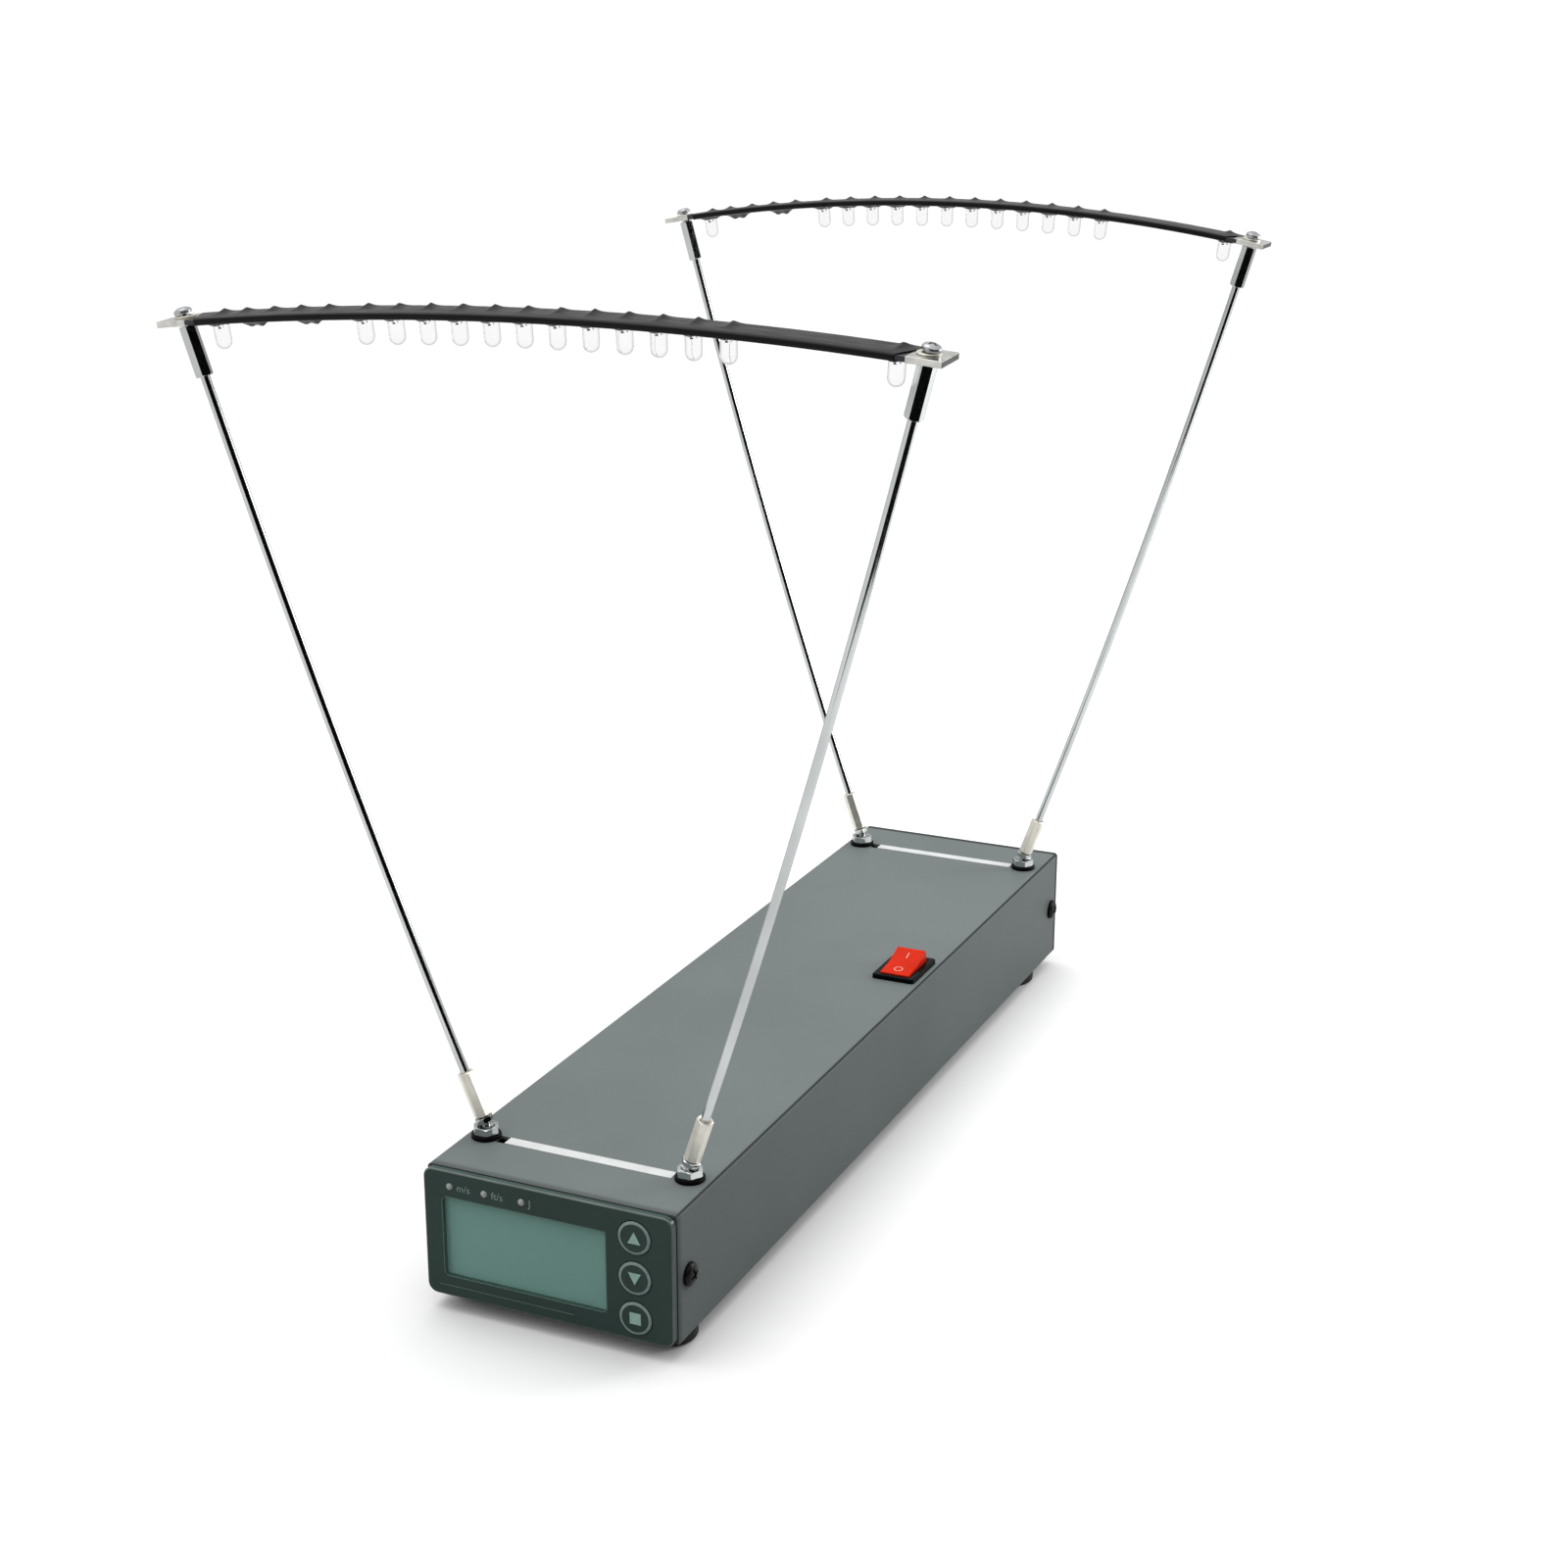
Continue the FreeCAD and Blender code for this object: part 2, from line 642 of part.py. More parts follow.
def make_switch_contacts():
    """The tipping contact blade over its pivot terminal, and the fixed terminal that it meets."""
    blade = new_body("switch_blade")
    strap = new_sketch(blade, "YZ_Plane")
    rectangle(strap, "-6.8", "-0.3", "13.6", "0.6")
    pad(blade, strap, "4", "Symmetric")
    knuckle = new_sketch(blade, "YZ_Plane")
    circle(knuckle, "0", "0", "0.7")
    pad(blade, knuckle, "4", "Symmetric")
    blade.Placement = at("dim.switch_side", SWITCH_Y, f"{PIVOT_Z} - 8.3",
                         Rotation(Vector(1, 0, 0), -size("dim.blade_tilt")))
    keep(blade)
    left = "dim.switch_side - 2.4"
    low = f"{PIVOT_Z} - 20"
    centre = box("pivot_terminal", (left, f"{SWITCH_Y} - 0.4", low), ("4.8", "0.8", "10.95"))
    fixed = box("fixed_terminal", (left, f"{SWITCH_Y} - 6.4", low), ("4.8", "0.8", "10.75"))
    keep(group("switch_terminals", [centre, fixed]))


# ---------------------------------------------------------------- power and electronics

HOLDER_SETBACK = 236.0
HOLDER_LENGTH = 60.0
CELL_LENGTH = 50.0
CELL_PITCH = 15.2
CELL_RADIUS = 7.2
MAIN_BOARD_SETBACK = 60.0
MAIN_BOARD_LENGTH = 90.0
MAIN_BOARD_WIDTH = 66.0
POST_HEIGHT = 6.0


def make_batteries():
    """An open tray with four cells side by side, and the contact plates at their ends."""
    tray = new_body("battery_holder")
    floor = f"({BASE} + dim.sheet_gauge)"
    middle = f"({FRONT} + {HOLDER_SETBACK + HOLDER_LENGTH / 2})"
    width = 4 * CELL_PITCH + 2.4
    block = new_sketch(tray, "XY_Plane", floor)
    centred_rectangle(block, "0", middle, width, HOLDER_LENGTH)
    pad(tray, block, "13")
    wells = new_sketch(tray, "XZ_Plane", f"{middle} + {HOLDER_LENGTH / 2 - 1.5}")
    bed = f"{floor} + 1.2 + {CELL_RADIUS} + 0.1"
    sides = [(i - 1.5) * CELL_PITCH for i in range(4)]
    for x in sides:
        rectangle(wells, x - CELL_RADIUS - 0.2, f"{bed} - {CELL_RADIUS} - 0.1",
                  2 * CELL_RADIUS + 0.4, "20")
    pocket(tray, wells, HOLDER_LENGTH - 3, backwards=True)
    keep(tray)

    cell = spin("cell_master", [
        ("0", "0"), (CELL_RADIUS, "0"), (CELL_RADIUS, CELL_LENGTH - 1.2), ("2.7", CELL_LENGTH - 1.2),
        ("2.7", CELL_LENGTH), ("0", CELL_LENGTH),
    ])
    cells, plates = [], []
    reach = HOLDER_LENGTH / 2 - 1.5
    for i, x in enumerate(sides):
        sign = -1 if i % 2 else 1
        start = f"{middle} - {sign * CELL_LENGTH / 2}"
        cells.append(at(x, start, bed, Rotation(Vector(1, 0, 0), -90 * sign)))
        for end in (-1, 1):
            plates.append(at(x, f"{middle} + {end * (reach - 1.5)}", f"{bed}",
                             Rotation(Vector(1, 0, 0), -90 * end)))
    keep(repeat("battery_cells", cell, cells))
    spring = spin("contact_master", [
        ("0", "0.9"), ("0", "1.4"), ("6", "1.4"), ("6", "0.9"), ("3", "0.9"), ("2", "-1.4"),
        ("1.2", "-1.4"), ("1.8", "0.9"),
    ])
    keep(repeat("battery_contacts", spring, plates))


def main_post_spots():
    x = MAIN_BOARD_WIDTH / 2 - 5
    lines = (MAIN_BOARD_SETBACK + 5, MAIN_BOARD_SETBACK + MAIN_BOARD_LENGTH - 5)
    return [(side, f"{FRONT} + {line}") for line in lines for side in (-x, x)]


def make_main_board():
    """The main circuit board on four posts, with its larger components."""
    floor = f"({BASE} + dim.sheet_gauge)"
    board_low = f"({floor} + {POST_HEIGHT})"
    board_top = f"({board_low} + dim.board_gauge)"
    board = new_body("main_board")
    plate = new_sketch(board, "XY_Plane", board_low)
    rectangle(plate, -MAIN_BOARD_WIDTH / 2, f"{FRONT} + {MAIN_BOARD_SETBACK}", MAIN_BOARD_WIDTH,
              MAIN_BOARD_LENGTH)
    for x, y in main_post_spots():
        circle(plate, x, y, "1.5 + dim.thread_gap")
    pad(board, plate, "dim.board_gauge")
    keep(board)

    post = ring("main_post_master", "2.8", "1.5 + dim.thread_gap", POST_HEIGHT)
    keep(repeat("board_posts", post, [at(x, y, floor) for x, y in main_post_spots()]))

    def part(name, x, back, lengths):
        return box(name, (x, f"{FRONT} + {MAIN_BOARD_SETBACK + back}", board_top), lengths)

    can = ring("capacitor_can", "4", "0", "11")
    can.Placement = at("18", f"{FRONT} + {MAIN_BOARD_SETBACK + 62}", board_top)
    keep(group("board_components", [
        part("processor", "-8", 30, ("14", "14", "1.6")),
        part("amplifier", "-22", 58, ("10", "6", "1.6")),
        part("regulator", "10", 72, ("6.5", "7", "2.4")),
        part("crystal", "10", 34, ("4.6", "11", "3.6")),
        part("display_header", "-16", 4, ("32", "5.4", "6")),
        part("power_header", "8", 80, ("12", "5.8", "7")),
        can,
    ]))


def make_board_screws():
    """The small screws that hold the display board and the main board to their posts."""
    small = pan_screw("display_screw_master", 1.0, 5.0, 1.9, 1.4)
    into_front = Rotation(Vector(1, 0, 0), -90)
    upright = repeat("display_board_screws", small,
                     [at(x, f"{BOARD_FACE} + dim.board_gauge", f"{BASE} + {rise}", into_front)
                      for x, rise in display_post_spots()])
    screw = pan_screw("main_screw_master", 1.5, 5.0, 2.8, 2.0)
    board_top = f"{BASE} + dim.sheet_gauge + {POST_HEIGHT} + dim.board_gauge"
    flat = repeat("main_board_screws", screw, [at(x, y, board_top) for x, y in main_post_spots()])
    keep(group("board_screws", [upright, flat]))


def rounded_route(points, radius):
    """A path of straight runs joined by tangent arcs of one radius."""
    edges = []
    start = points[0]
    for before, corner, after in zip(points, points[1:], points[2:]):
        back = (before - corner).normalize()
        ahead = (after - corner).normalize()
        half_turn = (math.pi - back.getAngle(ahead)) / 2
        reach = radius * math.tan(half_turn)
        entry = corner + back * reach
        leave = corner + ahead * reach
        inward = (back + ahead).normalize()
        middle = corner + inward * (radius / math.cos(half_turn) - radius)
        edges.append(Part.LineSegment(start, entry).toShape())
        edges.append(Part.Arc(entry, middle, leave).toShape())
        start = leave
    edges.append(Part.LineSegment(start, points[-1]).toShape())
    return Part.Wire(edges)


def make_wiring():
    """Insulated wires from the main board to the display, switch, batteries and sensor boards."""
    front = size(FRONT)
    deck = size(f"{BASE} + dim.sheet_gauge") + POST_HEIGHT + size("dim.board_gauge")
    switch_x, switch_y = size("dim.switch_side"), size(SWITCH_Y)
    terminal_z = size(f"{PIVOT_Z} - 20")
    sensor_z = size(f"{TOP} - dim.sensor_depth - dim.board_gauge")
    routes = [
        [(0, 67, deck + 6), (0, 67, deck + 13), (0, 30, deck + 13), (0, 20, 24), (0, 9.6, 24)],
        [(-20, 100, deck), (-20, 100, deck + 8), (-24, 60, deck + 8), (-24, 25, deck + 8),
         (-24, 25, sensor_z)],
        [(-26, 120, deck), (-26, 120, deck + 8), (-36, 150, deck + 8), (-38, 250, deck + 8),
         (-30, 345.8, deck + 8), (-30, 345.8, sensor_z)],
        [(14, 143, deck + 7), (14, 143, deck + 12), (switch_x, 175, deck + 5),
         (switch_x, 210, deck + 3), (switch_x, 210, terminal_z)],
    ]
    wires = []
    for route in routes:
        points = [Vector(x, front + back, z) for x, back, z in route[:-1]]
        last = route[-1]
        points.append(Vector(last[0], front + last[1], last[2]))
        if abs(last[0] - switch_x) < 0.1:
            points[-2].y = points[-1].y = switch_y - 6.0
        path = rounded_route(points, 3.0)
        profile = Part.Wire(Part.makeCircle(0.7, points[0], points[1] - points[0]))
        wires.append(path.makePipeShell([profile], True, False))
    feature = doc.addObject("Part::Feature", "wiring")
    feature.Shape = Part.makeCompound(wires)
    keep(feature)


# ---------------------------------------------------------------- light sensors

def make_sensors():
    """Under each arch: a diffusing window, a slit block and a board with seven photodiodes."""
    lines = (f"({FRONT} + dim.stud_setback)", f"({REAR} - dim.stud_setback)")
    window = new_body("window_master")
    lip = new_sketch(window, "XY_Plane", "-dim.sheet_gauge - 1.05")
    rectangle(lip, "-dim.sensor_width / 2", "-(dim.sensor_slot + 3) / 2", "(dim.sensor_width + 1.5)",
              "(dim.sensor_slot + 3)")
    pad(window, lip, "1")
    light_face = new_sketch(window, "XY_Plane", "-dim.sheet_gauge - 1.05")
    centred_rectangle(light_face, "0", "0", "dim.sensor_width", "dim.sensor_slot")
    pad(window, light_face, "dim.sheet_gauge + 1.05 + 0.15")
    keep(repeat("sensor_windows", window, [at("dim.sensor_shift", y, TOP) for y in lines]))

    slit = new_body("slit_master")
    block = new_sketch(slit, "XY_Plane", "-dim.sheet_gauge - 7.6")
    centred_rectangle(block, "0", "0", "60", "11")
    centred_rectangle(block, "0", "0", "55", "3")
    pad(slit, block, "6.5")
    keep(repeat("sensor_slits", slit, [at("0", y, TOP) for y in lines]))

    board = new_body("sensor_board_master")
    plate = new_sketch(board, "XY_Plane", "-dim.sensor_depth - dim.board_gauge")
    centred_rectangle(plate, "0", "0", "86", "16")
    for x in ("-dim.stud_side", "dim.stud_side"):
        circle(plate, x, "0", "dim.stud_base_diameter / 2 + 0.1")
    pad(board, plate, "dim.board_gauge")
    keep(repeat("sensor_boards", board, [at("0", y, TOP) for y in lines]))

    diode = new_body("photodiode_master")
    case = new_sketch(diode, "XY_Plane")
    centred_rectangle(case, "0", "0", "5.4", "4.4")
    pad(diode, case, "2.2")
    places = [at((i - 3) * 8, y, f"{TOP} - dim.sensor_depth") for y in lines for i in range(7)]
    keep(repeat("photodiodes", diode, places))


# ---------------------------------------------------------------- studs, couplers and rods

def arch_frames():
    """Each arch's own frame: origin on the stud line at bend height, +Z up the arch."""
    height = size(f"{TOP} + dim.bend_height")
    front = Vector(0, size(f"{FRONT} + dim.stud_setback"), height)
    rear = Vector(0, size(f"{REAR} - dim.stud_setback"), height)
    lean = Rotation(Vector(1, 0, 0), size("dim.front_lean"))
    return {"front": Placement(front, lean), "rear": Placement(rear, Rotation())}


def in_arch(frame, turn, x, z, tilt):
    """A place in an arch: x out from its middle, z up, +Z tilted outwards by tilt degrees."""
    half = Placement(Vector(), Rotation(Vector(0, 0, 1), turn))
    local = Placement(Vector(x, 0, z), Rotation(Vector(0, 1, 0), tilt))
    return frame.multiply(half).multiply(local)


def rod_line(span, rise):
    """A rod's lean at its foot and head in degrees, and its bow radius, for its strip hole's place."""
    turn = math.radians(size("dim.rod_turn"))
    below = size("dim.coupler_start + dim.coupler_length")
    above = size("dim.coupler_length + dim.strip_seat")
    across = span - size("dim.stud_side")
    skew = (below - above) * math.sin(turn / 2)
    ends = (below + above) * math.cos(turn / 2)
    chord = math.sqrt(across ** 2 + rise ** 2 - skew ** 2) - ends
    middle = math.atan2(across, rise) - math.atan2(skew, chord + ends)
    return {"foot": math.degrees(middle + turn / 2), "head": math.degrees(middle - turn / 2),
            "bow": chord / (2 * math.sin(turn / 2))}


def corners():
    """The four corners where a rod carries a strip, each with its strip hole and its rod's line."""
    span, sway = size("dim.arch_half_span"), size("dim.front_sway")
    rear = size("dim.rear_rise")
    places = (
        ("front", "left", LEFT, span - sway, size("dim.front_left_rise")),
        ("front", "right", RIGHT, span + sway, size("dim.front_right_rise")),
        ("rear", "left", LEFT, span, rear),
        ("rear", "right", RIGHT, span, rear),
    )
    frames = arch_frames()
    return [{"arch": arch, "side": side, "frame": frames[arch], "turn": turn, "span": reach,
             "rise": rise, **rod_line(reach, rise)} for arch, side, turn, reach, rise in places]


def above_bend(corner, distance):
    """The place this far up the leaning line that starts at a corner's bent stud."""
    lean = math.radians(corner["foot"])
    x = size("dim.stud_side") + distance * math.sin(lean)
    z = distance * math.cos(lean)
    return in_arch(corner["frame"], corner["turn"], x, z, corner["foot"])


def below_hole(corner, distance):
    """The place this far down the leaning line that ends at a corner's strip hole."""
    lean = math.radians(corner["head"])
    x = corner["span"] - distance * math.sin(lean)
    z = corner["rise"] - distance * math.cos(lean)
    return in_arch(corner["frame"], corner["turn"], x, z, corner["head"])


def make_stud_stack():
    """Washers, nuts and bushes that hold the four studs, insulated from the case."""
    spots = stud_spots()
    washer = spin("washer_master", [
        ("dim.stud_base_diameter / 2 + 0.1", "-dim.sheet_gauge"),
        ("dim.stud_base_diameter / 2 + 0.6", "-dim.sheet_gauge"),
        ("dim.stud_base_diameter / 2 + 0.6", "0"), ("dim.washer_diameter / 2", "0"),
        ("dim.washer_diameter / 2", "dim.washer_gauge - 0.3"),
        ("dim.washer_diameter / 2 - 0.3", "dim.washer_gauge"),
        ("dim.stud_base_diameter / 2 + 0.1", "dim.washer_gauge"),
    ])
    keep(repeat("insulating_washers", washer, [at(x, y, TOP) for x, y in spots]))

    big_bore = "dim.stud_base_diameter / 2 + dim.thread_gap"
    base_nut = hex_piece("base_nut_master", "dim.base_nut_flats", big_bore, "dim.base_nut_gauge")
    keep(repeat("base_nuts", base_nut, [at(x, y, f"{TOP} + dim.washer_gauge") for x, y in spots]))
    low = f"{TOP} - dim.sensor_depth - dim.board_gauge - dim.base_nut_gauge"
    keep(repeat("inner_nuts", base_nut, [at(x, y, low) for x, y in spots]))

    bush = ring("bush_master", "3.9", "dim.stud_base_diameter / 2 + 0.1",
                "dim.sensor_depth - dim.sheet_gauge - 0.05")
    keep(repeat("stud_bushes", bush, [at(x, y, f"{TOP} - dim.sensor_depth") for x, y in spots]))


def make_studs():
    """Stepped studs: thick and upright through the case, thin and bent outwards above the nut."""
    studs = []
    for corner in corners():
        bend = above_bend(corner, 0)
        base = doc.addObject("Part::Cylinder", "stud_base")
        base.setExpression("Radius", "dim.stud_base_diameter / 2")
        base.setExpression("Height", "dim.sensor_depth + dim.board_gauge + 8.3")
        depth = size("dim.sensor_depth + dim.board_gauge + 8.6")
        base.Placement = Placement(bend.Base - Vector(0, 0, depth), Rotation())
        neck = doc.addObject("Part::Cylinder", "stud_neck")
        neck.setExpression("Radius", "dim.stud_top_diameter / 2")
        neck.Height = 1.0
        neck.Placement = Placement(bend.Base - Vector(0, 0, 1.0), Rotation())
        ball = doc.addObject("Part::Sphere", "stud_bend")
        ball.setExpression("Radius", "dim.stud_top_diameter / 2")
        ball.Placement = Placement(bend.Base, Rotation())
        arm = doc.addObject("Part::Cylinder", "stud_arm")
        arm.setExpression("Radius", "dim.stud_top_diameter / 2")
        arm.setExpression("Height", "dim.coupler_start + dim.thread_grip")
        arm.Placement = bend
        stud = doc.addObject("Part::MultiFuse", "stud")
        stud.Shapes = [base, neck, ball, arm]
        studs.append(stud)
    keep(group("bent_studs", studs))


def make_couplers():
    """The jam nuts and hexagonal couplers at both ends of the four rods."""
    thin_bore = "dim.stud_top_diameter / 2 + dim.thread_gap"
    jam_nut = hex_piece("jam_nut_master", "dim.jam_nut_flats", thin_bore, "dim.jam_nut_gauge")
    keep(repeat("jam_nuts", jam_nut, [above_bend(corner, 0.9) for corner in corners()]))
    coupler = hex_piece("coupler_master", "dim.coupler_flats", thin_bore, "dim.coupler_length")
    start = size("dim.coupler_start")
    keep(repeat("lower_couplers", coupler, [above_bend(corner, start) for corner in corners()]))
    drop = size("dim.coupler_length + dim.strip_seat")
    keep(repeat("upper_couplers", coupler, [below_hole(corner, drop) for corner in corners()]))


def make_rods():
    """The four bowed rods, each from its grip in the lower coupler to its grip in the upper one."""
    grip = size("dim.thread_grip")
    turn = size("dim.rod_turn")
    angle = math.radians(turn)
    start = size("dim.coupler_start + dim.coupler_length - dim.thread_grip")
    for corner in corners():
        bow = corner["bow"]
        foot_end = doc.addObject("Part::Cylinder", "rod_foot")
        head_end = doc.addObject("Part::Cylinder", "rod_head")
        for end in (foot_end, head_end):
            end.setExpression("Radius", "dim.stud_top_diameter / 2")
            end.setExpression("Height", "dim.thread_grip")
        bowed = doc.addObject("Part::Torus", "rod_bow")
        bowed.Radius1 = bow
        bowed.setExpression("Radius2", "dim.stud_top_diameter / 2")
        bowed.setExpression("Angle3", "dim.rod_turn")
        bowed.Placement = Placement(Vector(-bow, 0, grip), Rotation(Vector(1, 0, 0), 90))
        drift = -bow * (1 - math.cos(angle))
        head_end.Placement = Placement(Vector(drift, 0, grip + bow * math.sin(angle)),
                                       Rotation(Vector(0, 1, 0), -turn))
        rod = doc.addObject("Part::MultiFuse", "rod_master")
        rod.Shapes = [foot_end, bowed, head_end]
        keep(repeat(f"{corner['arch']}_{corner['side']}_rod", rod, [above_bend(corner, start)]))


# ---------------------------------------------------------------- lamp strips

def strip_arc(arch):
    """Centre and radius of the arc that a strip's underside follows through its two holes."""
    left, right = [corner for corner in corners() if corner["arch"] == arch]
    start = Vector(-left["span"], 0, left["rise"])
    stop = Vector(right["span"], 0, right["rise"])
    radius = size(f"dim.{arch}_strip_radius")
    chord = stop - start
    upward = Vector(-chord.z, 0, chord.x).normalize()
    drop = math.sqrt(radius ** 2 - (chord.Length / 2) ** 2)
    return {"centre": (start + stop) * 0.5 - upward * drop, "radius": radius,
            "left": start.x, "right": stop.x}


def strip_place(arc, x, lift):
    """The place over x at a lift above the strip's underside, +X along the strip."""
    tilt = math.asin((x - arc["centre"].x) / arc["radius"])
    height = arc["centre"].z + arc["radius"] * math.cos(tilt)
    under = Placement(Vector(x, 0, height), Rotation(Vector(0, 1, 0), math.degrees(tilt)))
    return under.multiply(Placement(Vector(0, 0, lift), Rotation()))


def strip_band(arc, low, high, width, left, right):
    """A bowed band of the strip between two lifts, from x = left to x = right."""
    def line(lift):
        ends = [strip_place(arc, x, lift).Base for x in (left, (left + right) / 2, right)]
        return ends, Part.Arc(*ends).toShape()

    under, under_edge = line(low)
    over, over_edge = line(high)
    edges = [under_edge, Part.LineSegment(under[2], over[2]).toShape(), over_edge,
             Part.LineSegment(over[0], under[0]).toShape()]
    band = Part.Face(Part.Wire(Part.__sortEdges__(edges))).extrude(Vector(0, width, 0))
    band.translate(Vector(0, -width / 2, 0))
    return band


def lamp_sides():
    """The lamps' places along a strip: a row over the window and one lamp near each end."""
    pitch, shift = size("dim.lamp_pitch"), size("dim.lamp_shift")
    row = [shift + (i - (LAMP_COUNT - 1) / 2) * pitch for i in range(LAMP_COUNT)]
    return [-size("dim.end_lamp_left")] + row + [size("dim.end_lamp_right")]


RESISTOR_SIDES = (-96.3, -76.5)
SLEEVE_LEFT = -117.0
SLEEVE_RIGHT = 115.5
PAD_START = 0.3


def drilled(arc, shape):
    """A shape with the strip's two screw holes drilled square through it."""
    for x in (arc["left"], arc["right"]):
        drill = Part.makeCylinder(size("dim.strip_hole_radius"), 20, Vector(0, 0, -10))
        drill.Placement = strip_place(arc, x, 0)
        shape = shape.cut(drill)
    return shape


def make_strip(arch, frame):
    """One lamp strip: circuit board and black sleeve."""
    arc = strip_arc(arch)
    pad_gauge = size("dim.pad_gauge")
    top = pad_gauge + size("dim.strip_gauge")
    width = size("dim.strip_width")
    wall = size("dim.sleeve_wall")
    overhang = size("dim.strip_overhang")
    gap = 0.05
    ends = (arc["left"] - overhang, arc["right"] + overhang)
    strip = doc.addObject("Part::Feature", f"{arch}_strip_board")
    strip.Shape = drilled(arc, strip_band(arc, pad_gauge, top, width, *ends))
    strip.Placement = frame
    keep(strip)

    outer = strip_band(arc, pad_gauge - gap - wall, top + gap + wall, width + 2 * (gap + wall),
                       SLEEVE_LEFT, SLEEVE_RIGHT)
    inner = strip_band(arc, pad_gauge - gap, top + gap, width + 2 * gap,
                       SLEEVE_LEFT - 5, SLEEVE_RIGHT + 5)
    shell = outer
    for x in RESISTOR_SIDES:
        bulge = Part.makeBox(8, 3.8, 2.5, Vector(-4, -1.9, -2.4))
        bulge.Placement = strip_place(arc, x, 0)
        shell = shell.fuse(bulge)
    shell = shell.cut(inner)
    for x in RESISTOR_SIDES:
        hollow = Part.makeBox(7, 2.9, 2.5, Vector(-3.5, -1.45, -2.0))
        hollow.Placement = strip_place(arc, x, 0)
        shell = shell.cut(hollow)
    for x in lamp_sides():
        hole_for_lamp = Part.makeCylinder(3.2, 2.5)
        hole_for_lamp.Placement = strip_place(arc, x, -2.0)
        shell = shell.cut(hole_for_lamp)
    sleeve = doc.addObject("Part::Feature", f"{arch}_strip_sleeve")
    sleeve.Shape = shell
    sleeve.Placement = frame
    keep(sleeve)


def make_lamp_master():
    return spin("lamp_master", [
        ("0", "0"), ("2.9", "0"), ("2.9", "-1"), ("2.5", "-1"), ("2.5", "-6.1"), ("2.3", "-7.1"),
        ("1.8", "-7.85"), ("1", "-8.4"), ("0", "-8.6"),
    ])


def make_lamps_and_resistors():
    lamp = make_lamp_master()
    resistor = ring("resistor_master", "1.0", "0", "5.5")
    lift = size("dim.pad_gauge") - 0.09
    lengthways = Placement(Vector(0, 0, 0), Rotation(Vector(0, 1, 0), 90))
    resistors = []
    for arch, frame in arch_frames().items():
        arc = strip_arc(arch)
        places = [frame.multiply(strip_place(arc, x, lift)) for x in lamp_sides()]
        keep(repeat(f"{arch}_lamps", lamp, places))
        for x in RESISTOR_SIDES:
            shift = Placement(Vector(-2.75, 0, -0.85), Rotation())
            place = frame.multiply(strip_place(arc, x, 0)).multiply(shift).multiply(lengthways)
            resistors.append(place)
    keep(repeat("strip_resistors", resistor, resistors))


def make_end_pads():
    """Tinned pads on both faces of each strip's two bare ends."""
    gauge = size("dim.pad_gauge")
    overhang = size("dim.strip_overhang")
    pads = []
    for arch, frame in arch_frames().items():
        arc = strip_arc(arch)
        reaches = ((arc["left"] - overhang, SLEEVE_LEFT - PAD_START),
                   (SLEEVE_RIGHT + PAD_START, arc["right"] + overhang))
        for low in (0.0, gauge + size("dim.strip_gauge")):
            for left, right in reaches:
                band = strip_band(arc, low, low + gauge, size("dim.strip_width"), left, right)
                plate = drilled(arc, band)
                plate.Placement = frame
                pads.append(plate)
    feature = doc.addObject("Part::Feature", "end_pads")
    feature.Shape = Part.makeCompound(pads)
    keep(feature)


def make_strip_fastening():
    """Washers on the pads, and the screws that fix each strip to the rods' leaning couplers."""
    pads_top = size("2 * dim.pad_gauge + dim.strip_gauge")
    washer_gauge = 0.5
    washer = ring("strip_washer_master", "3.5", "dim.strip_hole_radius", washer_gauge)
    seats = []
    for arch, frame in arch_frames().items():
        arc = strip_arc(arch)
        seats += [frame.multiply(strip_place(arc, arc[side], pads_top))
                  for side in ("left", "right")]
    keep(repeat("strip_washers", washer, seats))
    head_radius = 2.8
    screw = pan_screw("strip_screw_master", 1.5, 7.5, head_radius, 2.0)
    rise = pads_top + washer_gauge + size("dim.strip_seat")
    keep(repeat("strip_screws", screw, [below_hole(corner, -rise) for corner in corners()]))


# ---------------------------------------------------------------- checks and files

def check_document():
    """Stops if an object failed, a pocket cut nothing or a sub-part isn't made of sound solids."""
    doc.recompute()
    for item in doc.Objects:
        if "Invalid" in item.State or "Error" in item.State:
            raise RuntimeError(f"{item.Label} failed: {item.State}")
        if item.TypeId == "PartDesign::Pocket":
            if item.Shape.Volume > item.BaseFeature.Shape.Volume - 0.01:
                raise RuntimeError(f"{item.Label} cuts nothing")
    for item in nodes:
        shape = item.Shape
        if shape.isNull() or not shape.isValid() or not shape.Solids:
            raise RuntimeError(f"{item.Label} has no sound solid")


def write_parts():
    os.makedirs("parts", exist_ok=True)
    for item in nodes:
        item.Shape.exportStep(f"parts/{item.Label}.step")
        print(f"{item.Label}: {len(item.Shape.Solids)} solid(s), {item.Shape.Volume:.0f} mm3")


def main():
    fill_sheet()
    make_case_cover()
    make_case_chassis()
    make_case_fasteners()
    make_front_panel()
    make_keys()
    make_display()
    make_switch_housing()
    make_switch_rocker()
    make_switch_contacts()
    make_batteries()
    make_main_board()
    make_board_screws()
    make_wiring()
    make_sensors()
    make_stud_stack()
    make_studs()
    make_couplers()
    make_rods()
    for arch, frame in arch_frames().items():
        make_strip(arch, frame)
    make_lamps_and_resistors()
    make_end_pads()
    make_strip_fastening()
    check_document()
    write_parts()


main()
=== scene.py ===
import json
import math

import bmesh
import bpy
import numpy as np
from mathutils import Matrix, Vector


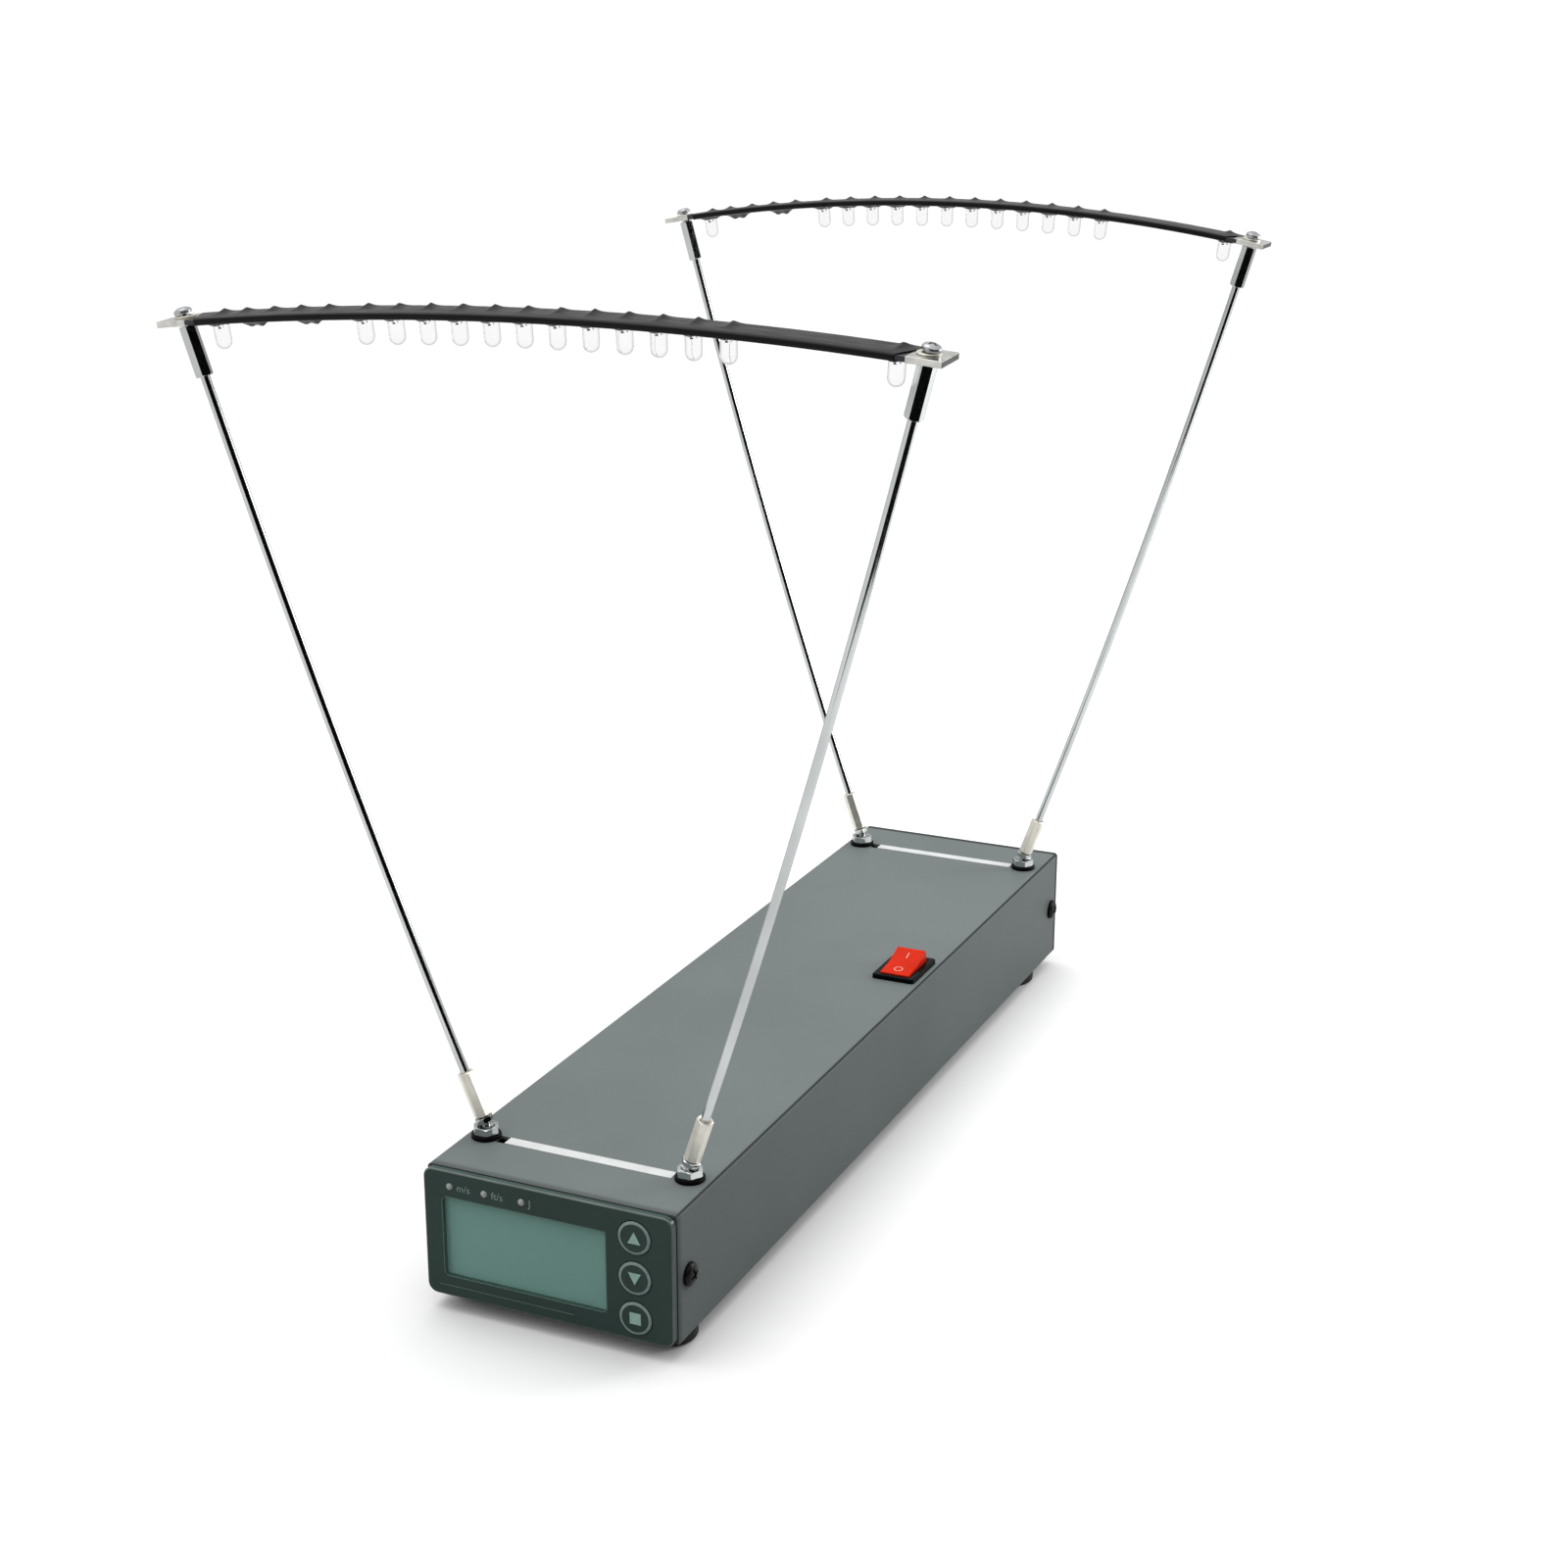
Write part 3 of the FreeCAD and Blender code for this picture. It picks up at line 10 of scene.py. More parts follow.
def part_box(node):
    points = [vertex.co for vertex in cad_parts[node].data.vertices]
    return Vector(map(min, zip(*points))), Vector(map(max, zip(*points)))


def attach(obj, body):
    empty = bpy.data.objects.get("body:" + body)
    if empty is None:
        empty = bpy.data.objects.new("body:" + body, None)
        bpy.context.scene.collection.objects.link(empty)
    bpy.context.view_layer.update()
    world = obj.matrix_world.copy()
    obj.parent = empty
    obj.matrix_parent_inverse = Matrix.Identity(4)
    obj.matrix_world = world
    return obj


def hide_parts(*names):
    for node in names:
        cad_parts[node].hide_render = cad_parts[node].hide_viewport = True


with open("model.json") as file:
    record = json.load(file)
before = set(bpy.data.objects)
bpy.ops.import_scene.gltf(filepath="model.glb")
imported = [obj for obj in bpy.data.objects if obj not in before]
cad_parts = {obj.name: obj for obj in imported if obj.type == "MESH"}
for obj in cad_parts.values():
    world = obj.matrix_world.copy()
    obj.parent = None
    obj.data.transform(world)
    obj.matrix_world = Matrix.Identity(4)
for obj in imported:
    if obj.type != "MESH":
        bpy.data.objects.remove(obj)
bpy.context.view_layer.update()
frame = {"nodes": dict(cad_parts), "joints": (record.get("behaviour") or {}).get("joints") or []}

# The looks of a light-curtain speed chronograph: a slate-grey sheet case with a display at its front
# end, and two open arches of bright rods and bowed, sleeved lamp strips. Metres, in the CAD's frame.

MM = 0.001
TURN = 2 * math.pi


# ---------------------------------------------------------------- materials

def linear(colour):
    """A colour given as 0-255 display values, as the linear values a shader takes."""
    parts = []
    for value in colour:
        share = value / 255
        parts.append(share / 12.92 if share <= 0.04045 else ((share + 0.055) / 1.055) ** 2.4)
    return parts


def mixed(tree, factor, first, second):
    """Two colours mixed by a factor, each given as a socket or as three linear values."""
    mix = tree.nodes.new("ShaderNodeMix")
    mix.data_type = "RGBA"
    tree.links.new(factor, mix.inputs[0])
    for socket, colour in ((mix.inputs[6], first), (mix.inputs[7], second)):
        if isinstance(colour, bpy.types.NodeSocket):
            tree.links.new(colour, socket)
        else:
            socket.default_value = [*colour, 1]
    return mix.outputs[2]


class Finish:
    """A Principled material and the nodes that feed it, all in object coordinates."""

    def __init__(self, name):
        self.name = name
        self.material = bpy.data.materials.new(name)
        self.material.use_nodes = True
        self.tree = self.material.node_tree
        self.nodes = self.tree.nodes
        self.links = self.tree.links
        self.shader = self.nodes["Principled BSDF"]
        self.coords = self.nodes.new("ShaderNodeTexCoord").outputs["Object"]

    def set(self, **constants):
        for name, value in constants.items():
            self.shader.inputs[name.replace("_", " ")].default_value = value

    def noise(self, scale, detail=2.0, stretch=(1, 1, 1)):
        texture = self.nodes.new("ShaderNodeTexNoise")
        texture.inputs["Scale"].default_value = scale
        texture.inputs["Detail"].default_value = detail
        mapping = self.nodes.new("ShaderNodeMapping")
        mapping.inputs["Scale"].default_value = stretch
        self.links.new(self.coords, mapping.inputs["Vector"])
        self.links.new(mapping.outputs["Vector"], texture.inputs["Vector"])
        return texture.outputs["Fac"]

    def ranged(self, value, low, high, start=0.35, stop=0.65):
        """A value that goes from start to stop, mapped to go from low to high."""
        scale = self.nodes.new("ShaderNodeMapRange")
        settings = {"From Min": start, "From Max": stop, "To Min": low, "To Max": high}
        for name, number in settings.items():
            scale.inputs[name].default_value = number
        self.links.new(value, scale.inputs["Value"])
        return scale.outputs["Result"]

    def maths(self, operation, *values):
        node = self.nodes.new("ShaderNodeMath")
        node.operation = operation
        for socket, value in zip(node.inputs, values):
            if isinstance(value, bpy.types.NodeSocket):
                self.links.new(value, socket)
            else:
                socket.default_value = value
        return node.outputs[0]

    def split_coords(self):
        """The object coordinates as X, Y and Z."""
        node = self.nodes.new("ShaderNodeSeparateXYZ")
        self.links.new(self.coords, node.inputs[0])
        return node.outputs

    def tint(self, factor, colour):
        """Blend a colour into the base colour by a factor."""
        plain = self.shader.inputs["Base Color"].links[0].from_socket
        self.colour(mixed(self.tree, factor, plain, linear(colour)))

    def colour(self, socket):
        self.links.new(socket, self.shader.inputs["Base Color"])

    def roughness(self, socket):
        self.links.new(socket, self.shader.inputs["Roughness"])

    def bump(self, height, strength, distance):
        node = self.nodes.new("ShaderNodeBump")
        node.inputs["Strength"].default_value = strength
        node.inputs["Distance"].default_value = distance
        self.links.new(height, node.inputs["Height"])
        self.links.new(node.outputs["Normal"], self.shader.inputs["Normal"])

    def painted_edge_on_shade(self, colour, start, end):
        """Blend the colour in where the surface is seen edge on, as painted shade or painted
        reflection.
        """
        facing = self.nodes.new("ShaderNodeLayerWeight")
        facing.inputs["Blend"].default_value = 0.5
        self.tint(self.ranged(facing.outputs["Facing"], 0.0, 1.0, start, end), colour)


def surface(name, colour, roughness, tone=0.08, patch=60, grain=1500, depth=0.00002,
            strength=0.3, stretch=(1, 1, 1), **constants):
    """A finish whose colour drifts in patches, and whose gloss and height follow a finer grain."""
    finish = Finish(name)
    base = linear(colour)
    darker = [value * (1 - tone) for value in base]
    lighter = [min(1.0, value * (1 + tone)) for value in base]
    patches = finish.ranged(finish.noise(patch, 3.0), 0.0, 1.0)
    fine = finish.noise(grain, 2.0, stretch)
    finish.colour(mixed(finish.tree, patches, darker, lighter))
    finish.roughness(finish.ranged(fine, roughness * 0.85, min(1.0, roughness * 1.15)))
    finish.bump(fine, strength, depth)
    finish.set(**constants)
    return finish


def case_paint():
    """Slate powder coat with a fine orange peel, and painted shade along the top folds and both rims.
    """
    finish = surface("case_paint", (109, 116, 116), 0.42, patch=14, grain=1800, tone=0.05,
                     depth=0.00003, strength=0.3, Specular_IOR_Level=0.08)
    low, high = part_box("case_cover")
    bend = 1.6 * MM
    coords = finish.split_coords()
    across = finish.maths("SUBTRACT", finish.maths("ABSOLUTE", coords["X"]), high.x - bend)
    up = finish.maths("SUBTRACT", coords["Z"], high.z - bend)
    # Painted shade: a dark line down the middle of each top fold's outer face.
    off_middle = finish.maths("ABSOLUTE", finish.maths("SUBTRACT", across, up))
    outward = finish.ranged(finish.maths("ADD", across, up), 0.0, 1.0, 1.7 * MM, 1.85 * MM)
    line = finish.ranged(off_middle, 0.9, 0.0, 0.42 * MM, 0.75 * MM)
    # Painted shade: dark bands at the rear rim and along the front rim.
    rim = finish.ranged(coords["Y"], 0.0, 0.9, high.y - 2.8 * MM, high.y - 2.2 * MM)
    front = finish.ranged(coords["Y"], 0.45, 0.0, low.y + 1.2 * MM, low.y + 3.2 * MM)
    edges = finish.maths("MAXIMUM", finish.maths("MULTIPLY", line, outward), rim)
    # The dark colour of the painted shade, blended in by the largest of these masks.
    finish.tint(finish.maths("MAXIMUM", edges, front), (34, 38, 41))
    return finish.material


def chrome_plate():
    """Bright plating over drawn wire: faint lengthwise drawing lines, a few duller patches, and
    painted reflection that darkens it where it is seen edge on.
    """
    finish = surface("chrome_plate", (206, 209, 209), 0.10, tone=0.10, patch=35, grain=900,
                     depth=0.000006, strength=0.12, stretch=(1, 1, 0.05), Metallic=1.0)
    # Painted reflection: dark sides where the plating is seen edge on.
    finish.painted_edge_on_shade((96, 101, 101), 0.45, 0.95)
    return finish.material


def nickel_plate():
    """Warm satin nickel on turned brass: soft patches and fine turning marks."""
    return surface("nickel_plate", (240, 237, 226), 0.42, tone=0.06, patch=220, grain=2600,
                   depth=0.00001, strength=0.2, stretch=(0.3, 0.3, 1.6), Metallic=1.0).material


def panel_gloss():
    """The back-printed glossy panel: very dark green, nearly flat, with faint handling marks."""
    return surface("panel_gloss", (48, 71, 65), 0.16, tone=0.05, patch=45, grain=120,
                   depth=0.00001, strength=0.06, Specular_IOR_Level=0.2).material


def lcd_cell():
    """A blank liquid-crystal cell: grey-green, with painted light that makes it lighter towards its
    upper left corner.
    """
    finish = surface("lcd_cell", (167, 220, 210), 0.35, tone=0.01, patch=30, grain=4000,
                     depth=0.000002, strength=0.04, Specular_IOR_Level=0.1)
    low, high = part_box("lcd_glass")
    coords = finish.split_coords()
    # Painted light: the cell is blended lighter upwards and towards its left.
    rise = finish.ranged(coords["Z"], 0.0, 0.6, low.z, high.z)
    side = finish.ranged(coords["X"], 0.4, 0.0, low.x, high.x)
    finish.tint(finish.maths("ADD", rise, side), (182, 236, 225))
    return finish.material


def window_clear():
    """Clear, slightly green sheet with faint handling marks."""
    return surface("window_clear", (104, 140, 128), 0.08, tone=0.02, patch=60, grain=300,
                   depth=0.00001, strength=0.05, Alpha=0.16, Specular_IOR_Level=0.3).material


def lamp_clear():
    """Water-clear moulded epoxy, with painted shade that greys it where it is seen edge on."""
    finish = surface("lamp_clear", (243, 243, 243), 0.03, tone=0.01, patch=300, grain=700,
                     depth=0.00001, strength=0.05, Transmission_Weight=1.0, IOR=1.07)
    # Painted shade: grey where the lamp is seen edge on.
    finish.painted_edge_on_shade((160, 162, 164), 0.25, 0.9)
    return finish.material


def heat_shrink():
    """Black shrink tubing: satin, with long faint draw lines and dusty patches."""
    return surface("heat_shrink", (14, 14, 15), 0.36, tone=0.25, patch=90, grain=700,
                   depth=0.00005, strength=0.3, stretch=(0.15, 1, 1),
                   Specular_IOR_Level=0.17).material


def rocker_plastic():
    """Warm red moulded plastic with a soft gloss."""
    return surface("rocker_plastic", (204, 38, 8), 0.24, tone=0.07, patch=180, grain=900,
                   depth=0.00001, strength=0.12, Specular_IOR_Level=0.06).material


def rubber(name, colour):
    return surface(name, colour, 0.72, tone=0.25, patch=250, grain=2600, depth=0.00006,
                   strength=0.5)


def plain_finishes():
    """The finishes of small and inner pieces, by material slot."""
    metal = {"Metallic": 1.0}
    finishes = (
        surface("black_steel", (14, 14, 15), 0.34, tone=0.3, patch=700, grain=3000,
                Specular_IOR_Level=0.15),
        rubber("foot_rubber", (13, 13, 14)),
        rubber("foam_tape", (24, 25, 25)),
        surface("key_gloss", (47, 69, 63), 0.18, patch=160, grain=300, strength=0.08,
                Specular_IOR_Level=0.2),
        surface("switch_black", (7, 8, 9), 0.18, patch=160, grain=2200, strength=0.15,
                Specular_IOR_Level=0.04),
        surface("backlight_white", (228, 232, 226), 0.5),
        surface("board_green", (34, 86, 52), 0.4, patch=300, grain=900, tone=0.2),
        surface("board_dark", (60, 62, 64), 0.5, patch=300, grain=2400, tone=0.2),
        surface("component_black", (26, 26, 28), 0.5, patch=300),
        surface("brass_post", (206, 176, 104), 0.28, patch=300, **metal),
        surface("contact_metal", (214, 204, 188), 0.3, patch=300, **metal),
        surface("spring_steel", (186, 188, 190), 0.26, patch=400, grain=2600, tone=0.15, **metal),
        surface("cell_sleeve", (58, 74, 96), 0.35, patch=120, Specular_IOR_Level=0.3),
        surface("tin_pad", (214, 213, 208), 0.2, patch=350, grain=700, tone=0.14, depth=0.00006,
                **metal),
        surface("sensor_white", (208, 211, 210), 0.4, tone=0.05, patch=120, grain=1600),
        surface("insulator_black", (9, 9, 10), 0.42, patch=500, Specular_IOR_Level=0.06),
        surface("diode_black", (22, 20, 26), 0.2, patch=300),
        surface("wire_red", (170, 34, 28), 0.4, patch=200),
        surface("resistor_tan", (196, 168, 122), 0.45, patch=500),
        surface("lens_clear", (206, 212, 210), 0.14, patch=600, grain=900,
                Transmission_Weight=0.35, Coat_Weight=0.6),
    )
    return {finish.name: finish.material for finish in finishes}


def make_finishes():
    """Every finish, by the name of its material slot."""
    finishes = plain_finishes()
    finishes.update({
        "case_paint": case_paint(),
        "chrome_rod": chrome_plate(),
        "nickel": nickel_plate(),
        "panel_gloss": panel_gloss(),
        "lcd_cell": lcd_cell(),
        "window_clear": window_clear(),
        "lamp_clear": lamp_clear(),
        "sleeve_black": heat_shrink(),
        "rocker_red": rocker_plastic(),
    })
    return finishes


FINISHES = make_finishes()
PRINT_PALE = surface("print_pale", (136, 158, 149), 0.4, tone=0.12, patch=600).material
PRINT_FAINT = surface("print_faint", (92, 116, 107), 0.4, tone=0.12, patch=600).material
PRINT_GREEN = surface("print_green", (168, 206, 192), 0.4, tone=0.06, patch=600).material
# Frosted acrylic edge colour, made paler still as a painted highlight on the panel's bevel.
EDGE_FROST_AND_HIGHLIGHT = surface("edge_frost_and_highlight", (100, 112, 108), 0.2, tone=0.2, patch=90).material
MARK_WHITE = surface("mark_white", (236, 176, 158), 0.4, tone=0.05, patch=600).material


# ---------------------------------------------------------------- shapes

class Shape:
    """Points and faces, before they become a mesh."""

    def __init__(self, points, faces):
        self.points = np.asarray(points, float)
        self.faces = faces

    def moved(self, matrix):
        table = np.array(matrix)
        return Shape(self.points @ table[:3, :3].T + table[:3, 3], self.faces)

    def copies(self, matrices):
        return joined([self.moved(matrix) for matrix in matrices])


def joined(shapes):
    points, faces, start = [], [], 0
    for shape in shapes:
        points.append(shape.points)
        faces += [tuple(index + start for index in face) for face in shape.faces]
        start += len(shape.points)
    return Shape(np.vstack(points), faces)


def loft(rings, around=True, loop=False, caps=False):
    """Faces between rings of equally many points."""
    count = len(rings[0])
    faces = []
    for i in range(len(rings) if loop else len(rings) - 1):
        after = (i + 1) % len(rings)
        for k in range(count if around else count - 1):
            beside = (k + 1) % count
            faces.append((i * count + k, i * count + beside,
                          after * count + beside, after * count + k))
    if caps:
        faces.append(tuple(reversed(range(count))))
        faces.append(tuple(range((len(rings) - 1) * count, len(rings) * count)))
    return Shape(np.vstack(rings), faces)


def circle(radius, z, segments):
    angles = np.linspace(0, TURN, segments, endpoint=False)
    return np.column_stack([radius * np.cos(angles), radius * np.sin(angles),
                            np.full(segments, z)])


def turned(profile, segments=40, loop=False):
    """A form turned about Z from pairs of radius and height in millimetres."""
    rings = [circle(max(radius, 1e-5) * MM, z * MM, segments) for radius, z in profile]
    return loft(rings, loop=loop)


def arc(centre, radius, start, stop, steps):
    """Points along an arc, in the unit of its centre and with angles in degrees."""
    return [(centre[0] + radius * math.cos(math.radians(angle)),
             centre[1] + radius * math.sin(math.radians(angle)))
            for angle in np.linspace(start, stop, steps)]


def mesh_of(name, shape):
    mesh = bpy.data.meshes.new(name)
    mesh.from_pydata(shape.points.tolist(), [], shape.faces)
    work = bmesh.new()
    work.from_mesh(mesh)
    bmesh.ops.remove_doubles(work, verts=work.verts, dist=2e-7)
    bmesh.ops.recalc_face_normals(work, faces=work.faces)
    work.to_mesh(mesh)
    work.free()
    return mesh


def piece(name, shape, slot, body="base", replaces=(), finish=None, sharp=32.0):
    """One visible piece that rides on a body and may stand for CAD nodes, in its slot's finish."""
    mesh = shape if isinstance(shape, bpy.types.Mesh) else mesh_of(name, shape)
    mesh.shade_smooth()
    mesh.set_sharp_from_angle(angle=math.radians(sharp))
    item = bpy.data.objects.new(name, mesh)
    bpy.context.scene.collection.objects.link(item)
    mesh.materials.clear()
    mesh.materials.append(finish or FINISHES[slot])
    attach(item, body)
    if replaces:
        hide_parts(*replaces)
    return item


def cut_from(shape, cutter):
    """A shape with another one taken away from it."""
    items = []
    for label, form in (("whole", shape), ("cutter", cutter)):
        item = bpy.data.objects.new(label, mesh_of(label, form))
        bpy.context.scene.collection.objects.link(item)
        items.append(item)
    modifier = items[0].modifiers.new("cut", "BOOLEAN")
    modifier.operation = "DIFFERENCE"
    modifier.solver = "EXACT"
    modifier.object = items[1]
    graph = bpy.context.evaluated_depsgraph_get()
    mesh = bpy.data.meshes.new_from_object(items[0].evaluated_get(graph))
    for item in items:
        bpy.data.objects.remove(item)
    points = [vertex.co[:] for vertex in mesh.vertices]
    return Shape(points, [tuple(face.vertices) for face in mesh.polygons])


# ---------------------------------------------------------------- places read from the CAD nodes

def solids(node):
    """The points of each separate solid of a CAD node."""
    work = bmesh.new()
    work.from_mesh(frame["nodes"][node].data)
    bmesh.ops.remove_doubles(work, verts=work.verts, dist=1e-6)
    work.verts.ensure_lookup_table()
    seen = [False] * len(work.verts)
    clouds = []
    for vertex in work.verts:
        if seen[vertex.index]:
            continue
        seen[vertex.index] = True
        waiting, cloud = [vertex], []
        while waiting:
            here = waiting.pop()
            cloud.append(here.co[:])
            for edge in here.link_edges:
                other = edge.other_vert(here)
                if not seen[other.index]:
                    seen[other.index] = True
                    waiting.append(other)
        clouds.append(np.array(cloud))
    work.free()
    return clouds


def middle_of(cloud):
    """The middle of the box round some points."""
    return (cloud.min(axis=0) + cloud.max(axis=0)) / 2


def turned_axis(points):
    """The axis of points that lie evenly around it, pointing up."""
    spread, axes = np.linalg.eigh(np.cov((points - points.mean(axis=0)).T))
    odd = 0 if spread[1] - spread[0] > spread[2] - spread[1] else 2
    axis = axes[:, odd]
    return axis * (1 if axis[2] > 0 else -1)


def lengthwise_axis(points, towards):
    """The axis of a slim solid's points, pointing to the side of towards."""
    axis = np.linalg.eigh(np.cov((points - points.mean(axis=0)).T))[1][:, 2]
    return axis * (1 if np.dot(axis, towards) > 0 else -1)


def placement(origin, up, towards):
    """A matrix at an origin, +Z along up and +X as near to towards as it can be."""
    up = np.array(up) / np.linalg.norm(up)
    across = np.array(towards) - up * np.dot(up, towards)
    across /= np.linalg.norm(across)
    matrix = np.eye(4)
    matrix[:3, 0] = across
    matrix[:3, 1] = np.cross(up, across)
    matrix[:3, 2] = up
    matrix[:3, 3] = origin
    return Matrix(matrix.tolist())


def hexagon_places(node):
    """Where each hexagonal solid of a node stands: its lower end, its axis and one of its corners."""
    places = []
    for cloud in solids(node):
        reach = np.linalg.norm(cloud - cloud.mean(axis=0), axis=1)
        corners = cloud[np.argsort(reach)[-12:]]
        centre = corners.mean(axis=0)
        axis = turned_axis(corners)
        half = np.abs((corners - centre) @ axis).mean()
        places.append(placement(centre - axis * half, axis, corners[0] - centre))
    return places


def is_front(matrix):
    return matrix.translation.y < 0


# ---------------------------------------------------------------- nuts, couplers, screws and rods

def hexagon(flats, length, bore, chamfer=1.0, sink=0.5):
    """A hexagonal nut or spacer, its ends turned to shallow cones and its bore countersunk."""
    segments = 96
    cone = math.tan(math.radians(30))
    apothem = flats / 2 * MM
    angles = np.linspace(0, TURN, segments, endpoint=False)
    reach = apothem / np.cos(np.mod(angles, TURN / 6) - TURN / 12)
    reach = np.minimum(reach, reach.max() * 0.985)
    face = apothem * (1.0 - 0.03 * chamfer)
    drop = np.maximum(reach - face, 0) * cone * chamfer
    long = length * MM

    def edge(heights):
        return np.column_stack([reach * np.cos(angles), reach * np.sin(angles), heights])

    rings = [
        circle(bore * MM, sink * MM, segments), circle((bore + sink) * MM, 0, segments),
        circle(face, 0, segments), edge(drop), edge(long - drop), circle(face, long, segments),
        circle((bore + sink) * MM, long, segments), circle(bore * MM, long - sink * MM, segments),
    ]
    return loft(rings, loop=True)


def pan_head(shank, length, radius, height):
    """A domed pan-head screw with a cross recess, seated on the XY plane, its shank below it."""
    profile = [(0, -length), (shank * 0.8, -length), (shank, -length + 0.3), (shank, 0),
               (radius * 0.97, 0), (radius, height * 0.08), (radius, height * 0.34)]
    profile += [(radius * math.cos(a), height * (0.34 + 0.66 * math.sin(a)))
                for a in np.linspace(0.12, math.pi / 2, 9)]
    arm, rib = radius * 0.56, radius * 0.13
    outline = [(-arm, -rib), (-rib, -rib), (-rib, -arm), (rib, -arm), (rib, -rib), (arm, -rib),
               (arm, rib), (rib, rib), (rib, arm), (-rib, arm), (-rib, rib), (-arm, rib)]
    rings = []
    for share, z in ((0.45, height * 0.25), (1.0, height * 0.92), (1.0, height * 1.3)):
        rings.append(np.array([(x * share * MM, y * share * MM, z * MM) for x, y in outline]))
    return cut_from(turned(profile, 36), loft(rings, caps=True))


def faced(place, flat):
    """A hexagon's place turned about its axis until a flat, or else a corner, looks to the front."""
    axis = place.col[2].to_3d()
    twist = -TURN / 12 if flat else 0.0
    return placement(place.translation, axis, (0.41, -0.91, 0)) @ Matrix.Rotation(twist, 4, "Z")


def make_nuts():
    """Nuts and couplers of the four studs and their rods."""
    jobs = (
        ("base_nuts", "base_nut_set", hexagon(8.0, 2.7, 2.55)),
        ("inner_nuts", "inner_nut_set", hexagon(8.0, 2.7, 2.55)),
        ("jam_nuts", "jam_nut_set", hexagon(5.5, 1.8, 1.55, sink=0.3)),
        ("lower_couplers", "lower_coupler_set", hexagon(5.0, 16.0, 1.55, chamfer=1.6, sink=0.7)),
        ("upper_couplers", "upper_coupler_set", hexagon(5.0, 16.0, 1.55, chamfer=1.6, sink=0.7)),
    )
    for node, name, shape in jobs:
        places = hexagon_places(node)
        if "couplers" in node:
            places = [faced(place, node == "lower_couplers" or place.translation.x > 0)
                      for place in places]
        finish = "nickel" if node == "lower_couplers" else "chrome_rod"
        piece(name, shape.copies(places), "nickel", replaces=(node,), finish=FINISHES[finish])


def make_washers():
    """Black shouldered washers under the base nuts, their rims rounded."""
    rim, gauge, bore, collar, sheet, trim, round_off = 5.0, 1.5, 2.6, 3.1, 1.0, 0.15, 0.5
    profile = [(bore, -sheet), (collar, -sheet), (collar, 0), (rim - trim, 0), (rim, trim)]
    profile += arc((rim - round_off, gauge - round_off), round_off, 0, 90, 6) + [(bore, gauge)]
    washer = turned(profile, 48, loop=True)
    places = []
    for cloud in solids("insulating_washers"):
        middle = middle_of(cloud)
        places.append(Matrix.Translation((middle[0], middle[1], cloud[:, 2].max() - gauge * MM)))
    piece("insulating_washer_set", washer.copies(places), "insulator_black",
          replaces=("insulating_washers",))


def make_case_screws():
    """Black cross-head screws in the case's sides."""
    screw = pan_head(2.0, 3.4, 4.0, 2.4)
    places = []
    for cloud in solids("cover_screws"):
        middle = middle_of(cloud)
        side = math.copysign(1, middle[0])
        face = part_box("case_cover")[1].x * side
        places.append(placement((face, middle[1], middle[2]), (side, 0, 0), (0, 0.94, 0.34)))
    piece("cover_screw_set", screw.copies(places), "black_steel", replaces=("cover_screws",))


def make_feet():
    """Turned rubber feet with a recess for their screws."""
    radius, height, recess = 9.0, 6.0, 3.5
    profile = [(1.7, height), (1.7, 3), (recess, 3), (recess, 0.35), (recess + 0.35, 0)]
    profile += [(radius - 2.2, 0)] + arc((radius - 2.0, 2.0), 2.0, -84, 0, 9)
    profile += [(radius, height - 0.5)] + arc((radius - 0.5, height - 0.5), 0.5, 0, 90, 5)[1:]
    foot = turned(profile, 56, loop=True)
    places = []
    for cloud in solids("rubber_feet"):
        middle = middle_of(cloud)
        places.append(Matrix.Translation((middle[0], middle[1], 0)))
    piece("rubber_foot_set", foot.copies(places), "foot_rubber", replaces=("rubber_feet",))


def rod_shape(foot, head):
    """A round rod of 3 mm on one arc, from a place at its foot to a place at its head."""
    start, stop = np.array(foot.translation), np.array(head.translation)
    lead, trail = np.array(foot.col[2][:3]), np.array(head.col[2][:3])
    pull = np.linalg.norm(stop - start) / 3
    side = np.cross(lead, (0, 1, 0))
    side /= np.linalg.norm(side)
    rings = []
    for share in np.linspace(0, 1, 49):
        rest = 1 - share
        point = (rest ** 3 * start + 3 * rest ** 2 * share * (start + lead * pull)
                 + 3 * rest * share ** 2 * (stop - trail * pull) + share ** 3 * stop)
        ahead = rest * lead + share * trail
        matrix = placement(point, ahead, side)
        rings.append(Shape(circle(1.5 * MM, 0, 28), []).moved(matrix).points)
    return loft(rings, caps=True)


def make_rods():
    """The four bowed rods, each from inside its lower coupler to inside its upper one."""
    grip = Matrix.Translation((0, 0, 10 * MM))
    entry = Matrix.Translation((0, 0, 6 * MM))
    for foot in hexagon_places("lower_couplers"):
        arch = "front" if is_front(foot) else "rear"
        side = "left" if foot.translation.x < 0 else "right"
        head = next(place for place in hexagon_places("upper_couplers")
                    if is_front(place) == is_front(foot)
                    and place.translation.x * foot.translation.x > 0)
        name = f"{arch}_{side}_rod"
        piece(f"{name}_plated", rod_shape(foot @ grip, head @ entry), "chrome_rod",
              replaces=(name,))


# ---------------------------------------------------------------- lamp strips

